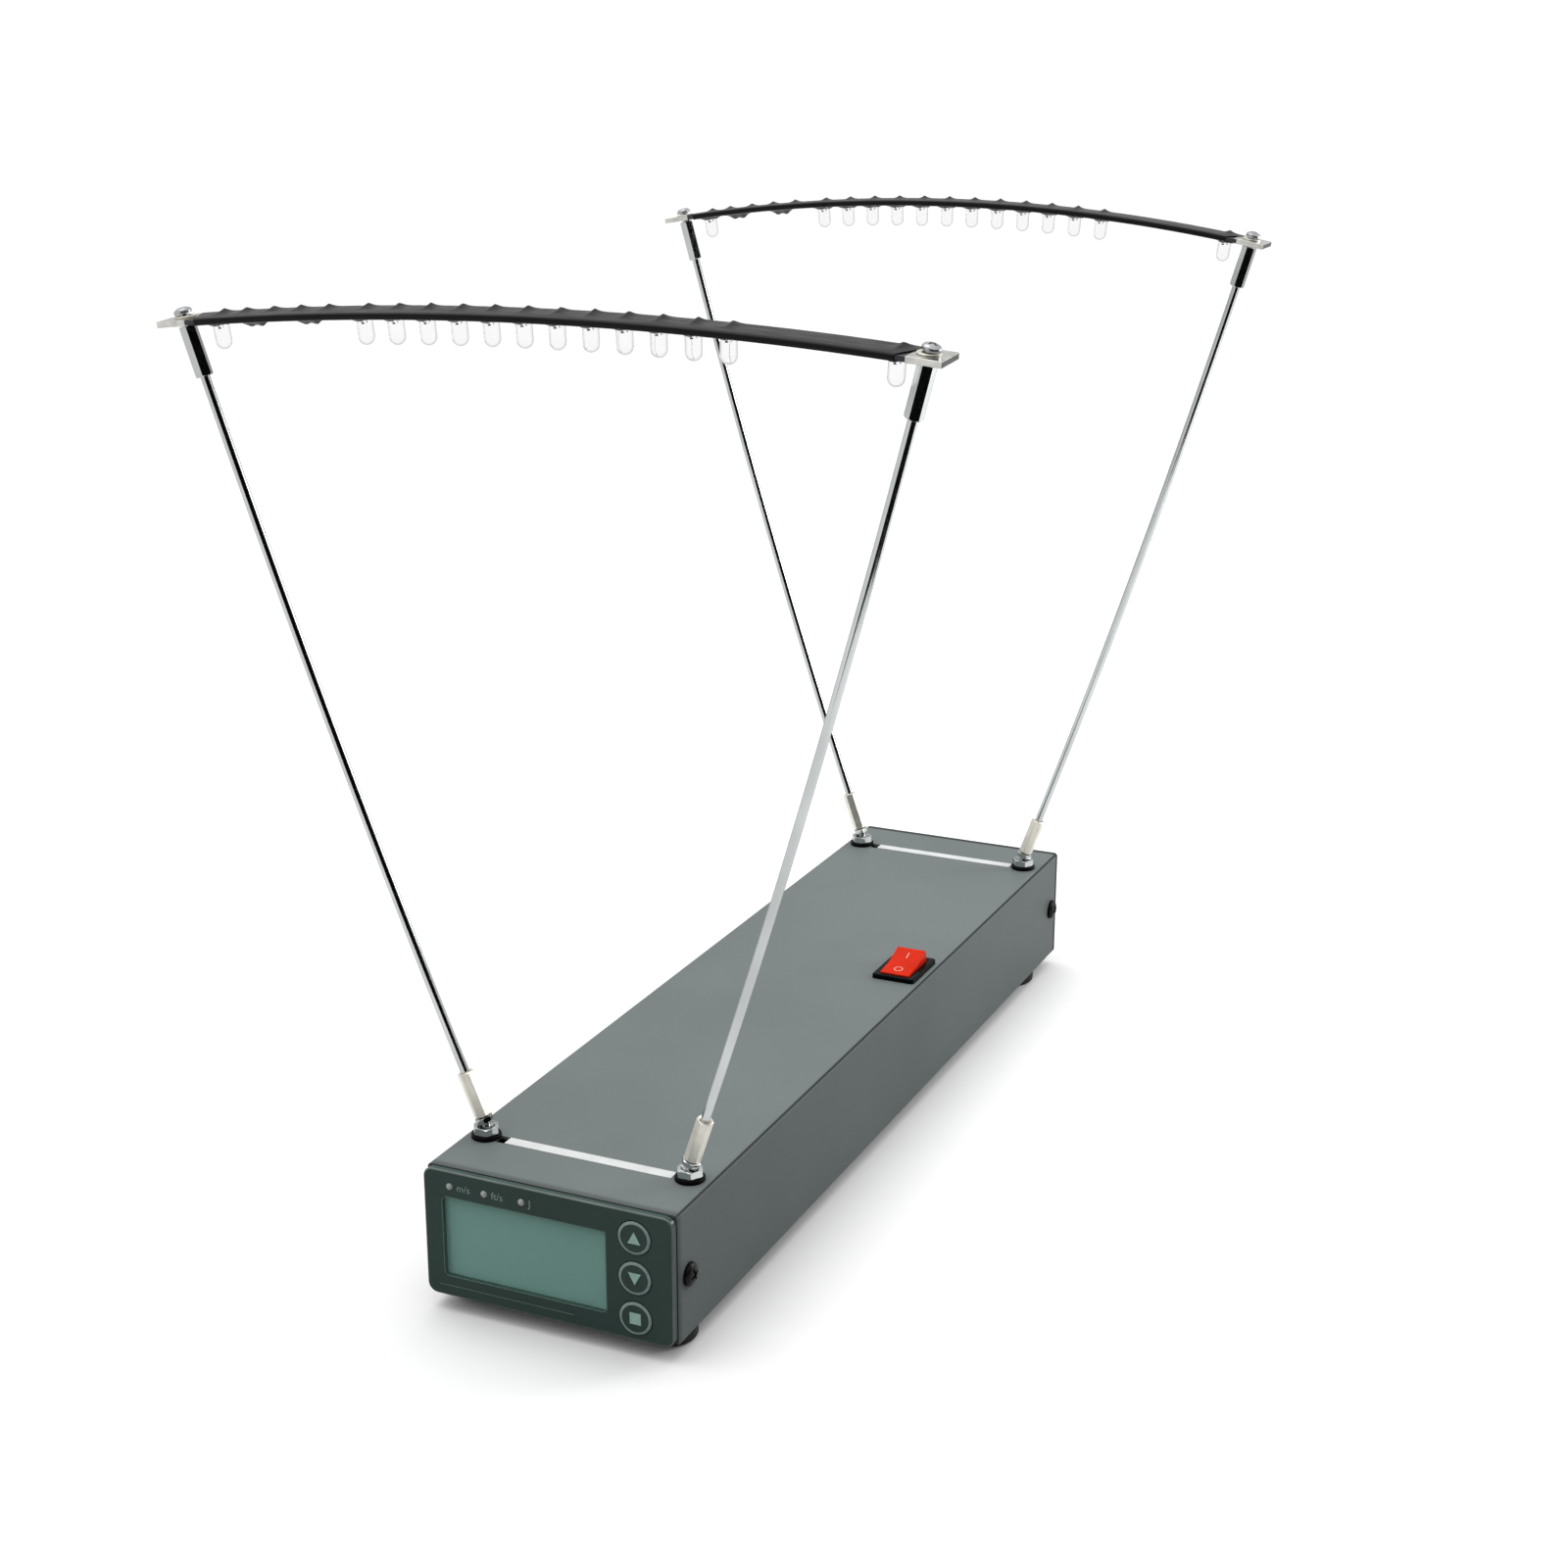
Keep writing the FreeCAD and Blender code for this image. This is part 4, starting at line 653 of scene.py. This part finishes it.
class Strip:
    """The arc of one strip's underside, found from the tops of the lamps that hang along it."""

    FLANGE_LIFT = 0.11 * MM

    def __init__(self, arch):
        self.arch = arch
        heads, feet = ([place for place in hexagon_places(node) if self.holds(place.translation)]
                       for node in ("upper_couplers", "lower_couplers"))
        rise = sum((head.translation - foot.translation for head, foot in zip(heads, feet)),
                   Vector())
        middle = sum((head.translation for head in heads), Vector()) / len(heads)
        middle.x = 0
        self.base = placement(middle, (0, rise.y, rise.z), (1, 0, 0))
        back = self.base.inverted()
        tops = np.array([(back @ place.translation)[:] for place in lamp_places(self)])
        x, y, z = tops.T
        table = np.column_stack([2 * x, 2 * z, np.ones(len(x))])
        self.centre_x, self.centre_z, rest = np.linalg.lstsq(table, x * x + z * z, rcond=None)[0]
        flange_radius = math.sqrt(rest + self.centre_x ** 2 + self.centre_z ** 2)
        self.radius = flange_radius - self.FLANGE_LIFT
        self.side = float(y.mean())

    def place(self, x):
        """A matrix on the strip's underside at x, +X along the strip and +Z out of its top."""
        tilt = math.asin((x - self.centre_x) / self.radius)
        z = self.centre_z + self.radius * math.cos(tilt)
        return self.base @ Matrix.Translation((x, self.side, z)) @ Matrix.Rotation(tilt, 4, "Y")

    def holds(self, point):
        """Whether a point in the CAD's frame is on this strip's arch."""
        return (point[1] < 0) == (self.arch == "front")

    def across(self, point):
        """How far along the strip's x a point in the CAD's frame lies."""
        return (self.base.inverted() @ Vector(point)).x


def lamp_places(strip):
    """Where the lamps of a strip hang, in order from left to right, +Z up through each lamp."""
    places = []
    for cloud in solids(f"{strip.arch}_lamps"):
        axis = turned_axis(cloud)
        centre = cloud.mean(axis=0)
        top = centre + axis * ((cloud - centre) @ axis).max()
        places.append(placement(top, axis, (1, 0, 0)))
    return sorted(places, key=lambda place: place.translation.x)


STRIPS = [Strip("front"), Strip("rear")]


def tent(distance, reach):
    """A pointed rise of height one that ends softly at reach."""
    share = np.clip(np.abs(distance) / reach, 0, 1)
    return (1 - share) ** 2


def bell(distance, width):
    """A smooth rise of height one."""
    return np.exp(-(distance / width) ** 2)


def sleeve_rise(x, y, lamp_lines, resistor_lines):
    """How far a sleeve's upper side is tented over the solder points at x."""
    solder = [(line, 1.25 * MM) for line in lamp_lines]
    solder += [(line + shift, 1.2 * MM) for line in resistor_lines for shift in (-5 * MM, 5 * MM)]
    height = sum(tall * tent(x - line, 3.2 * MM) for line, tall in solder)
    return height * bell(y - 2.6 * MM, 2.6 * MM)


def sleeve_sag(x, y, lamp_lines, resistor_lines):
    """How far a sleeve's lower side bulges over lamp flanges and resistors at x."""
    sag = np.zeros(len(y))
    for line in lamp_lines:
        sag += 0.85 * MM * np.clip((4.3 * MM - np.hypot(x - line, y)) / (1.3 * MM), 0, 1)
    for line in resistor_lines:
        lobes = sum(bell(x - line - shift, 1.7 * MM) for shift in (-2.1 * MM, 2.1 * MM))
        saddle = 0.36 * bell(x - line, 1.4 * MM)
        sag += 1.9 * MM * min(1.0, lobes + saddle) * bell(y, 2.4 * MM)
    return sag


def sleeve_shape(strip, lamp_lines, resistor_lines):
    """Shrunk tubing over a strip, its section a round-cornered oblong and its ends cut aslant."""
    half_width, half_height, wall, middle = 6.85 * MM, 1.25 * MM, 0.4 * MM, 0.95 * MM
    start, stop, step = -117.0 * MM, 115.5 * MM, 0.5 * MM
    slant, slant_reach, corner = 3.0 * MM, 8 * MM, 2 / 5
    angles = np.linspace(0, TURN, 48, endpoint=False)
    cosine, sine = np.cos(angles), np.sin(angles)
    across = np.sign(cosine) * np.abs(cosine) ** corner
    upward = np.sign(sine) * np.abs(sine) ** corner
    outer, inner = [], []
    for x in np.arange(start, stop + step / 2, step):
        place = np.array(strip.place(float(x)))
        lean = slant * across * (tent(stop - x, slant_reach) - tent(x - start, slant_reach))
        y = across * half_width
        z = upward * half_height + middle
        z += (upward > 0.5) * sleeve_rise(x, y, lamp_lines, resistor_lines)
        z -= (upward < -0.5) * sleeve_sag(x, y, lamp_lines, resistor_lines)
        outer.append(Shape(np.column_stack([lean, y, z]), []).moved(place).points)
        y = across * (half_width - wall)
        z = upward * (half_height - wall) + middle
        inner.append(Shape(np.column_stack([lean, y, z]), []).moved(place).points)
    return loft(outer + inner[::-1], loop=True)


def lamp_body():
    """A clear 5 mm lamp hanging from its flange, its flange top on the XY plane."""
    dome = [(2.5 * math.cos(a), -6.1 - 2.5 * math.sin(a)) for a in np.linspace(0, math.pi / 2, 11)]
    profile = [(0, 0), (2.75, 0), (2.9, -0.15), (2.9, -0.85), (2.8, -1.0), (2.5, -1.05)] + dome
    return turned(profile, 32)


def bar(low, high):
    """A block between two corners in millimetres, its long edges slightly broken."""
    (x0, y0, z0), (x1, y1, z1) = low, high
    trim = 0.18 * min(x1 - x0, y1 - y0)
    outline = [(x0 + trim, y0), (x1 - trim, y0), (x1, y0 + trim), (x1, y1 - trim),
               (x1 - trim, y1), (x0 + trim, y1), (x0, y1 - trim), (x0, y0 + trim)]
    rings = [np.array([(x * MM, y * MM, z * MM) for x, y in outline]) for z in (z0, z1)]
    return loft(rings, caps=True)


def lamp_frame():
    """The two leads inside a lamp: a wide cup post and a thin post."""
    cup = turned([(0, -2.0), (0.3, -2.0), (0.5, -2.4), (0.35, -2.4), (0.2, -2.2), (0, -2.2)], 16)
    return joined([
        bar((-1.3, -0.2, -2.0), (-0.3, 0.2, -1.4)), bar((-1.3, -0.2, -1.4), (-0.9, 0.2, -0.1)),
        cup.moved(Matrix.Translation((-0.6 * MM, 0, 0))),
        bar((0.6, -0.2, -2.1), (1.1, 0.2, -1.5)), bar((0.9, -0.2, -1.5), (1.3, 0.2, -0.1)),
    ])


def resistor_body():
    """A small resistor, thicker at its two capped ends, standing on its left end."""
    return turned([(0, 0.05), (0.6, 0.05), (0.92, 0.3), (0.98, 0.8), (0.92, 1.35), (0.76, 1.75),
                   (0.76, 3.75), (0.92, 4.15), (0.98, 4.7), (0.92, 5.2), (0.6, 5.45), (0, 5.45)], 28)


def make_strips():
    """Sleeves, lamps, lead frames and resistors of both strips."""
    resistors = [(cloud.mean(axis=0), lengthwise_axis(cloud, (1, 0, 0)))
                 for cloud in solids("strip_resistors")]
    for strip in STRIPS:
        places = lamp_places(strip)
        lamp_lines = [strip.across(place.translation) for place in places]
        resistor_lines = [strip.across(middle) for middle, axis in resistors
                          if strip.holds(middle)]
        piece(f"{strip.arch}_shrink_sleeve", sleeve_shape(strip, lamp_lines, resistor_lines),
              "sleeve_black", replaces=(f"{strip.arch}_strip_sleeve",), sharp=50)
        piece(f"{strip.arch}_lamp_lenses", lamp_body().copies(places), "lamp_clear",
              replaces=(f"{strip.arch}_lamps",))
        piece(f"{strip.arch}_lamp_frames", lamp_frame().copies(places), "spring_steel")
    length = 5.5 * MM
    stands = [placement(middle - axis * length / 2, axis, (0, 1, 0)) for middle, axis in resistors]
    piece("strip_resistor_set", resistor_body().copies(stands), "resistor_tan",
          replaces=("strip_resistors",))


def make_strip_ends():
    """Washers and domed screws that clamp each strip's ends to its rods."""
    bore, rim, gauge, trim = 2.1, 3.5, 0.5, 0.12
    washer = turned([(bore, 0), (rim - 0.15, 0), (rim, trim), (rim, gauge - trim),
                     (rim - 0.15, gauge), (bore, gauge)], 40, loop=True)
    seats = []
    for cloud in solids("strip_washers"):
        axis = turned_axis(cloud)
        seats.append(placement(middle_of(cloud) - axis * gauge / 2 * MM, axis, (1, 0, 0)))
    piece("strip_washer_set", washer.copies(seats), "nickel", replaces=("strip_washers",))
    head = 2.0 * MM
    screw = pan_head(1.5, 7.5, 2.8, 2.0)
    heads = []
    twists = (0.3, 1.1, 0.6, 0.9)
    for cloud, twist in zip(solids("strip_screws"), twists):
        middle = cloud.mean(axis=0)
        axis = lengthwise_axis(cloud, (0, 0, 1))
        along = (cloud - middle) @ axis
        crown = cloud[along > along.max() - 0.5 * head].mean(axis=0)
        top = crown + axis * (along.max() - (crown - middle) @ axis)
        heads.append(placement(top - axis * head, axis, (1, 0, 0)) @ Matrix.Rotation(twist, 4, "Z"))
    piece("strip_screw_set", screw.copies(heads), "spring_steel", replaces=("strip_screws",))


def make_pad_edges():
    """Plating wrapped over the long edges of each strip's bare ends."""
    half, gauge, low, high = 6.35 * MM, 0.08 * MM, 0.0, 1.9 * MM
    edges = []
    for strip in STRIPS:
        seats = [strip.across(middle_of(cloud)) for cloud in solids("strip_washers")
                 if strip.holds(cloud[0])]
        for seat in seats:
            away = math.copysign(1, seat)
            lines = np.linspace(seat - away * 4.5 * MM, seat + away * 5.9 * MM, 8)
            for side in (-1, 1):
                rings = []
                for x in lines:
                    ring = [(0, side * half, low), (0, side * (half + gauge), low + gauge),
                            (0, side * (half + gauge), high - gauge), (0, side * half, high)]
                    rings.append(Shape(ring, []).moved(strip.place(float(x))).points)
                edges.append(loft(rings, caps=True))
    piece("pad_edge_set", joined(edges), "tin_pad")


# ---------------------------------------------------------------- front panel and keys

def rounded_outline(left, right, low, high, radius, steps=8):
    """Points round a rectangle with round corners, as pairs across and up in metres."""
    centres = ((right - radius, low + radius, -90), (right - radius, high - radius, 0),
               (left + radius, high - radius, 90), (left + radius, low + radius, 180))
    points = []
    for x, z, start in centres:
        points += arc((x, z), radius, start, start + 90, steps)
    return points


def band(layers):
    """A closed band from rounded outlines, each with the y that it lies at."""
    rings = [np.array([(x, y, z) for x, z in outline]) for outline, y in layers]
    return loft(rings, loop=True)


def make_panel_lines():
    """The pale bevelled edge of the panel, partly frosted acrylic and partly painted highlight, and
    the thin border of its window.
    """
    low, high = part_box("front_panel")
    face = low.y
    lift = 0.03 * MM
    bevel = 0.4 * MM

    def edge(inset, y):
        radius = 3.5 * MM - inset
        return rounded_outline(low.x + inset, high.x - inset, low.z + inset, high.z - inset,
                               radius), y

    # The bevel band, in the frosted edge colour with its painted highlight.
    piece("panel_edge_line", band([
        edge(0.54 * MM, face + 0.1 * MM), edge(0.52 * MM, face - lift), edge(bevel, face - lift),
        edge(0.0, face + bevel - lift), edge(0.05 * MM, face + bevel + 0.2 * MM),
        edge(bevel + 0.1 * MM, face + 0.2 * MM),
    ]), "panel_gloss", finish=EDGE_FROST_AND_HIGHLIGHT, sharp=60)

    left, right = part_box("display_window")

    def border(outset, y):
        radius = 1.8 * MM + outset
        return rounded_outline(left.x - outset, right.x + outset, left.z - outset,
                               right.z + outset, radius), y

    piece("window_border", band([
        border(-0.18 * MM, face - lift), border(0.08 * MM, face - lift),
        border(0.08 * MM, face + 0.05 * MM), border(-0.18 * MM, face + 0.05 * MM),
    ]), "panel_gloss", finish=PRINT_FAINT, sharp=60)


def glyph(corners, face, depth=0.05):
    """A flat printed mark on a face that looks along -Y, from corners across and up in metres."""
    rings = [np.array([(x, y, z) for x, z in corners])
             for y in (face + 0.02 * MM, face - depth * MM)]
    return loft(rings, caps=True)


def make_key_marks():
    """On each round key, a pale ring and its sign: a triangle up, a triangle down or a square."""
    signs = {
        "up": [(-2.25, -1.95), (2.25, -1.95), (0, 2.15)],
        "down": [(-2.25, 1.95), (0, -2.15), (2.25, 1.95)],
        "stop": [(-1.95, -2.0), (1.95, -2.0), (1.95, 2.0), (-1.95, 2.0)],
    }
    profile = [(4.75, -0.02), (4.75, 0.04), (5.4, 0.04), (5.70, -0.24), (5.62, -0.34), (5.3, -0.02)]
    towards_front = Matrix.Rotation(math.radians(90), 4, "X")
    for name, corners in signs.items():
        low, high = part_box(f"key_{name}")
        centre = (low + high) / 2
        face = low.y
        place = Matrix.Translation((centre.x, face, centre.z)) @ towards_front
        ring = turned(profile, 72, loop=True).moved(place)
        piece(f"key_{name}_ring", ring, "key_gloss", body=f"{name}_key", finish=PRINT_PALE,
              sharp=50)
        points = [(centre.x + x * MM, centre.z + z * MM) for x, z in corners]
        piece(f"key_{name}_sign", glyph(points, face), "key_gloss", body=f"{name}_key",
              finish=PRINT_GREEN)


def make_indicators():
    """Three domed indicator lenses and the unit beside each."""
    towards_front = Matrix.Rotation(math.radians(90), 4, "X")
    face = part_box("front_panel")[0].y
    profile = [(0, -4.2), (1.2, -4.2), (1.2, 0.05), (1.1, 0.22), (0.85, 0.40), (0.45, 0.52), (0, 0.56)]
    middles = [middle_of(cloud) for cloud in solids("indicator_lenses")]
    spots = sorted((middle[0], middle[2]) for middle in middles)
    places = [Matrix.Translation((x, face, z)) @ towards_front for x, z in spots]
    piece("indicator_lens_set", turned(profile, 32).copies(places), "lens_clear",
          replaces=("indicator_lenses",))
    for (x, z), unit in zip(spots, ("m/s", "ft/s", "J")):
        text = bpy.data.curves.new(f"unit_{unit[0]}", "FONT")
        text.body = unit
        text.size = 3.5 * MM
        text.extrude = 0.03 * MM
        text.align_y = "CENTER"
        label = bpy.data.objects.new(f"unit_label_{unit[0]}", text)
        bpy.context.scene.collection.objects.link(label)
        label.matrix_world = Matrix.Translation((x + 2.6 * MM, face, z)) @ towards_front
        text.materials.append(PRINT_PALE)
        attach(label, "base")


def make_rule():
    """A fine ruled line, low on the panel."""
    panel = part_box("front_panel")[0]
    window_low, window_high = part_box("display_window")
    z = (panel.z + window_low.z) / 2 + 0.2 * MM
    left, right = window_low.x - 2 * MM, window_high.x - 12 * MM
    line = glyph([(left, z - 0.12 * MM), (right, z - 0.12 * MM), (right, z + 0.12 * MM),
                  (left, z + 0.12 * MM)], panel.y, 0.04)
    piece("panel_rule", line, "panel_gloss", finish=PRINT_FAINT)


# ---------------------------------------------------------------- rocker

def make_rocker():
    """The red rocker with rounded edges, and the bar and ring that mark its two ends."""
    work = bmesh.new()
    work.from_mesh(frame["nodes"]["switch_rocker"].data)
    bmesh.ops.remove_doubles(work, verts=work.verts, dist=1e-6)
    bmesh.ops.dissolve_limit(work, angle_limit=math.radians(1), verts=work.verts, edges=work.edges)
    joint = next(item for item in frame["joints"] if item["child"] == "rocker")
    tilt = Matrix.Rotation(math.radians(12), 4, "X")
    rest = Matrix.Translation(Vector(joint["pos_m"])) @ tilt
    back = rest.inverted()
    edges = [edge for edge in work.edges
             if edge.is_manifold and edge.calc_face_angle(0) > math.radians(25)
             and all((back @ vertex.co).z > 0.5 * MM for vertex in edge.verts)]
    bmesh.ops.bevel(work, geom=edges, offset=0.55 * MM, segments=4, profile=0.5,
                    affect="EDGES", clamp_overlap=True)
    mesh = bpy.data.meshes.new("rocker_shell")
    work.to_mesh(mesh)
    work.free()
    piece("rocker_shell", mesh, "rocker_red", body="rocker", replaces=("switch_rocker",),
          sharp=40)
    valley, rise, half_length, middle = 4.5, 1.0, 9.2, 4.9
    height = valley + rise * middle / half_length
    slope = math.atan2(rise, half_length)
    for name, side in (("bar", 1), ("ring", -1)):
        seat = (rest @ Matrix.Translation((0, side * middle * MM, height * MM))
                @ Matrix.Rotation(side * slope, 4, "X"))
        if name == "bar":
            mark = bar((-0.2, -1.6, -0.05), (0.2, 1.6, 0.06))
        else:
            mark = turned([(1.4, -0.05), (1.72, -0.05), (1.72, 0.06), (1.4, 0.06)], 40, loop=True)
        piece(f"rocker_{name}_mark", mark.moved(seat), "rocker_red", body="rocker",
              finish=MARK_WHITE)


# ---------------------------------------------------------------- CAD nodes, studio and camera

def finish_cad_nodes():
    """Gives each CAD node the finish of its material slot."""
    slots = {
        "case_paint": ("case_cover", "case_chassis"),
        "black_steel": ("cover_screws", "foot_screws"),
        "foot_rubber": ("rubber_feet",),
        "panel_gloss": ("front_panel",),
        "foam_tape": ("panel_tape",),
        "window_clear": ("display_window",),
        "lens_clear": ("indicator_lenses", "indicator_diodes"),
        "key_gloss": ("key_up", "key_down", "key_stop"),
        "component_black": ("plunger_up", "plunger_down", "plunger_stop", "key_switches",
                            "battery_holder", "board_components", "sensor_slits"),
        "lcd_cell": ("lcd_glass",),
        "backlight_white": ("lcd_backlight",),
        "board_green": ("display_board", "main_board", "sensor_boards"),
        "brass_post": ("display_posts", "board_posts"),
        "switch_black": ("switch_housing",),
        "rocker_red": ("switch_rocker",),
        "contact_metal": ("switch_blade", "switch_terminals"),
        "cell_sleeve": ("battery_cells",),
        "spring_steel": ("battery_contacts", "board_screws", "strip_screws"),
        "wire_red": ("wiring",),
        "sensor_white": ("sensor_windows",),
        "diode_black": ("photodiodes",),
        "insulator_black": ("insulating_washers", "stud_bushes"),
        "nickel": ("base_nuts", "inner_nuts", "jam_nuts", "lower_couplers", "upper_couplers",
                   "strip_washers"),
        "chrome_rod": ("bent_studs", "front_left_rod", "front_right_rod", "rear_left_rod",
                       "rear_right_rod"),
        "board_dark": ("front_strip_board", "rear_strip_board"),
        "sleeve_black": ("front_strip_sleeve", "rear_strip_sleeve"),
        "lamp_clear": ("front_lamps", "rear_lamps"),
        "resistor_tan": ("strip_resistors",),
        "tin_pad": ("end_pads",),
    }
    for slot, nodes in slots.items():
        for node in nodes:
            item = frame["nodes"][node]
            if not item.material_slots:
                item.data.materials.append(FINISHES[slot])
            for place in item.material_slots:
                place.material = FINISHES[slot]


def card(name, corners, colour, glossy_only=False):
    """A flat card of the studio, from its corners in metres."""
    mesh = bpy.data.meshes.new(name)
    mesh.from_pydata(corners, [], [tuple(range(len(corners)))])
    item = bpy.data.objects.new(name, mesh)
    bpy.context.scene.collection.objects.link(item)
    material = bpy.data.materials.new(name)
    material.use_nodes = True
    shader = material.node_tree.nodes["Principled BSDF"]
    shader.inputs["Base Color"].default_value = [*linear(colour), 1]
    shader.inputs["Roughness"].default_value = 1.0
    shader.inputs["Specular IOR Level"].default_value = 0.0
    mesh.materials.append(material)
    if glossy_only:
        item.visible_camera = False
        item.visible_diffuse = False
        item.visible_shadow = False
        item.visible_transmission = False
    return item


def area_light(name, location, target, size, power):
    data = bpy.data.lights.new(name, "AREA")
    data.shape = "DISK"
    data.size = size
    data.energy = power
    item = bpy.data.objects.new(name, data)
    item.location = location
    aim = Vector(target) - Vector(location)
    item.rotation_euler = aim.to_track_quat("-Z", "Y").to_euler()
    bpy.context.scene.collection.objects.link(item)


def make_floor():
    """A white floor that gives back less light to the object's reflections and undersides."""
    reach = 8.0
    white = (247, 247, 247)
    floor = card("floor", [(-reach, -reach, 0), (reach, -reach, 0), (reach, reach, 0),
                           (-reach, reach, 0)], white)
    tree = floor.data.materials[0].node_tree
    rays = tree.nodes.new("ShaderNodeLightPath")
    colour = linear(white)
    for ray, value in (("Is Diffuse Ray", 0.16), ("Is Glossy Ray", 0.72),
                       ("Is Transmission Ray", 0.93)):
        colour = mixed(tree, rays.outputs[ray], colour, (value, value, value))
    tree.links.new(colour, tree.nodes["Principled BSDF"].inputs["Base Color"])


def make_surround():
    """A surround that is white to look at, brighter overhead than at its sides, dim in reflections."""
    world = bpy.data.worlds.new("surround")
    world.use_nodes = True
    tree = world.node_tree
    rays = tree.nodes.new("ShaderNodeLightPath")
    heading = tree.nodes.new("ShaderNodeTexCoord").outputs["Generated"]
    split = tree.nodes.new("ShaderNodeSeparateXYZ")
    tree.links.new(heading, split.inputs[0])
    aside = tree.nodes.new("ShaderNodeVectorMath")
    aside.operation = "DOT_PRODUCT"
    aside.inputs[1].default_value = (0.91, -0.41, 0)
    tree.links.new(heading, aside.inputs[0])

    def graded(value, low, high):
        node = tree.nodes.new("ShaderNodeMapRange")
        node.inputs["To Min"].default_value = low
        node.inputs["To Max"].default_value = high
        tree.links.new(value, node.inputs["Value"])
        return node.outputs["Result"]

    light = tree.nodes.new("ShaderNodeMath")
    light.operation = "MULTIPLY"
    tree.links.new(graded(split.outputs["Z"], 0.20, 1.92), light.inputs[0])
    tree.links.new(graded(aside.outputs["Value"], 1.0, 0.12), light.inputs[1])
    colour = light.outputs[0]
    for ray, seen in (("Is Glossy Ray", graded(split.outputs["Z"], 0.60, 0.95)),
                      ("Is Camera Ray", (1.1, 1.1, 1.1)),
                      ("Is Transmission Ray", (1.05, 1.05, 1.05))):
        colour = mixed(tree, rays.outputs[ray], colour, seen)
    tree.links.new(colour, tree.nodes["Background"].inputs["Color"])
    bpy.context.scene.world = world


def make_dark_cards():
    """Dark cards, seen in reflections only: one stands at the front right, one lies before it."""
    middle = Vector((0, -0.17, 0))
    low, high = -92, 15

    def spot(heading, away, z):
        angle = math.radians(heading)
        return middle + Vector((away * math.cos(angle), away * math.sin(angle), z))

    headings = np.linspace(low, high, 11)
    near, far = 0.42, 1.1
    lying = [spot(angle, near, 0.0004) for angle in headings]
    lying += [spot(angle, far, 0.0004) for angle in reversed(headings)]
    card("dark_card_lying", lying, (10, 10, 10), glossy_only=True)
    for i, (left, right) in enumerate(zip(headings, headings[1:])):
        standing = [spot(left, far, 0), spot(right, far, 0), spot(right, far, 0.75),
                    spot(left, far, 0.75)]
        card(f"dark_card_standing_{i}", standing, (10, 10, 10), glossy_only=True)


def make_studio():
    """The floor, the surround, a light at the rear side and dark cards for the bright metal."""
    make_floor()
    make_surround()
    make_dark_cards()
    area_light("rear_side", (0.62, 0.50, 0.34), (0.04, 0.16, 0.02), 0.35, 2.6)
    area_light("overhead", (-0.5, -0.2, 1.7), (0, 0, 0.05), 1.2, 4)
    bpy.context.scene.view_settings.view_transform = "Standard"


def make_camera():
    """The camera, from its place and the directions of its right, up and back."""
    data = bpy.data.cameras.new("camera")
    data.sensor_width = 36
    data.lens = 57.337
    data.clip_start = 0.05
    data.clip_end = 50
    camera = bpy.data.objects.new("camera", data)
    bpy.context.scene.collection.objects.link(camera)
    right = Vector((0.9112057, 0.4119504, 0.0010178))
    up = Vector((-0.1270683, 0.2787145, 0.9519306))
    back = Vector((0.3918645, -0.8675339, 0.3063121))
    turn = Matrix((right, up, back)).transposed().to_4x4()
    camera.matrix_world = Matrix.Translation((0.35977, -0.80050, 0.41375)) @ turn
    bpy.context.scene.camera = camera


finish_cad_nodes()
make_nuts()
make_washers()
make_case_screws()
make_feet()
make_rods()
make_strips()
make_strip_ends()
make_pad_edges()
make_panel_lines()
make_key_marks()
make_indicators()
make_rule()
make_rocker()
make_studio()
make_camera()
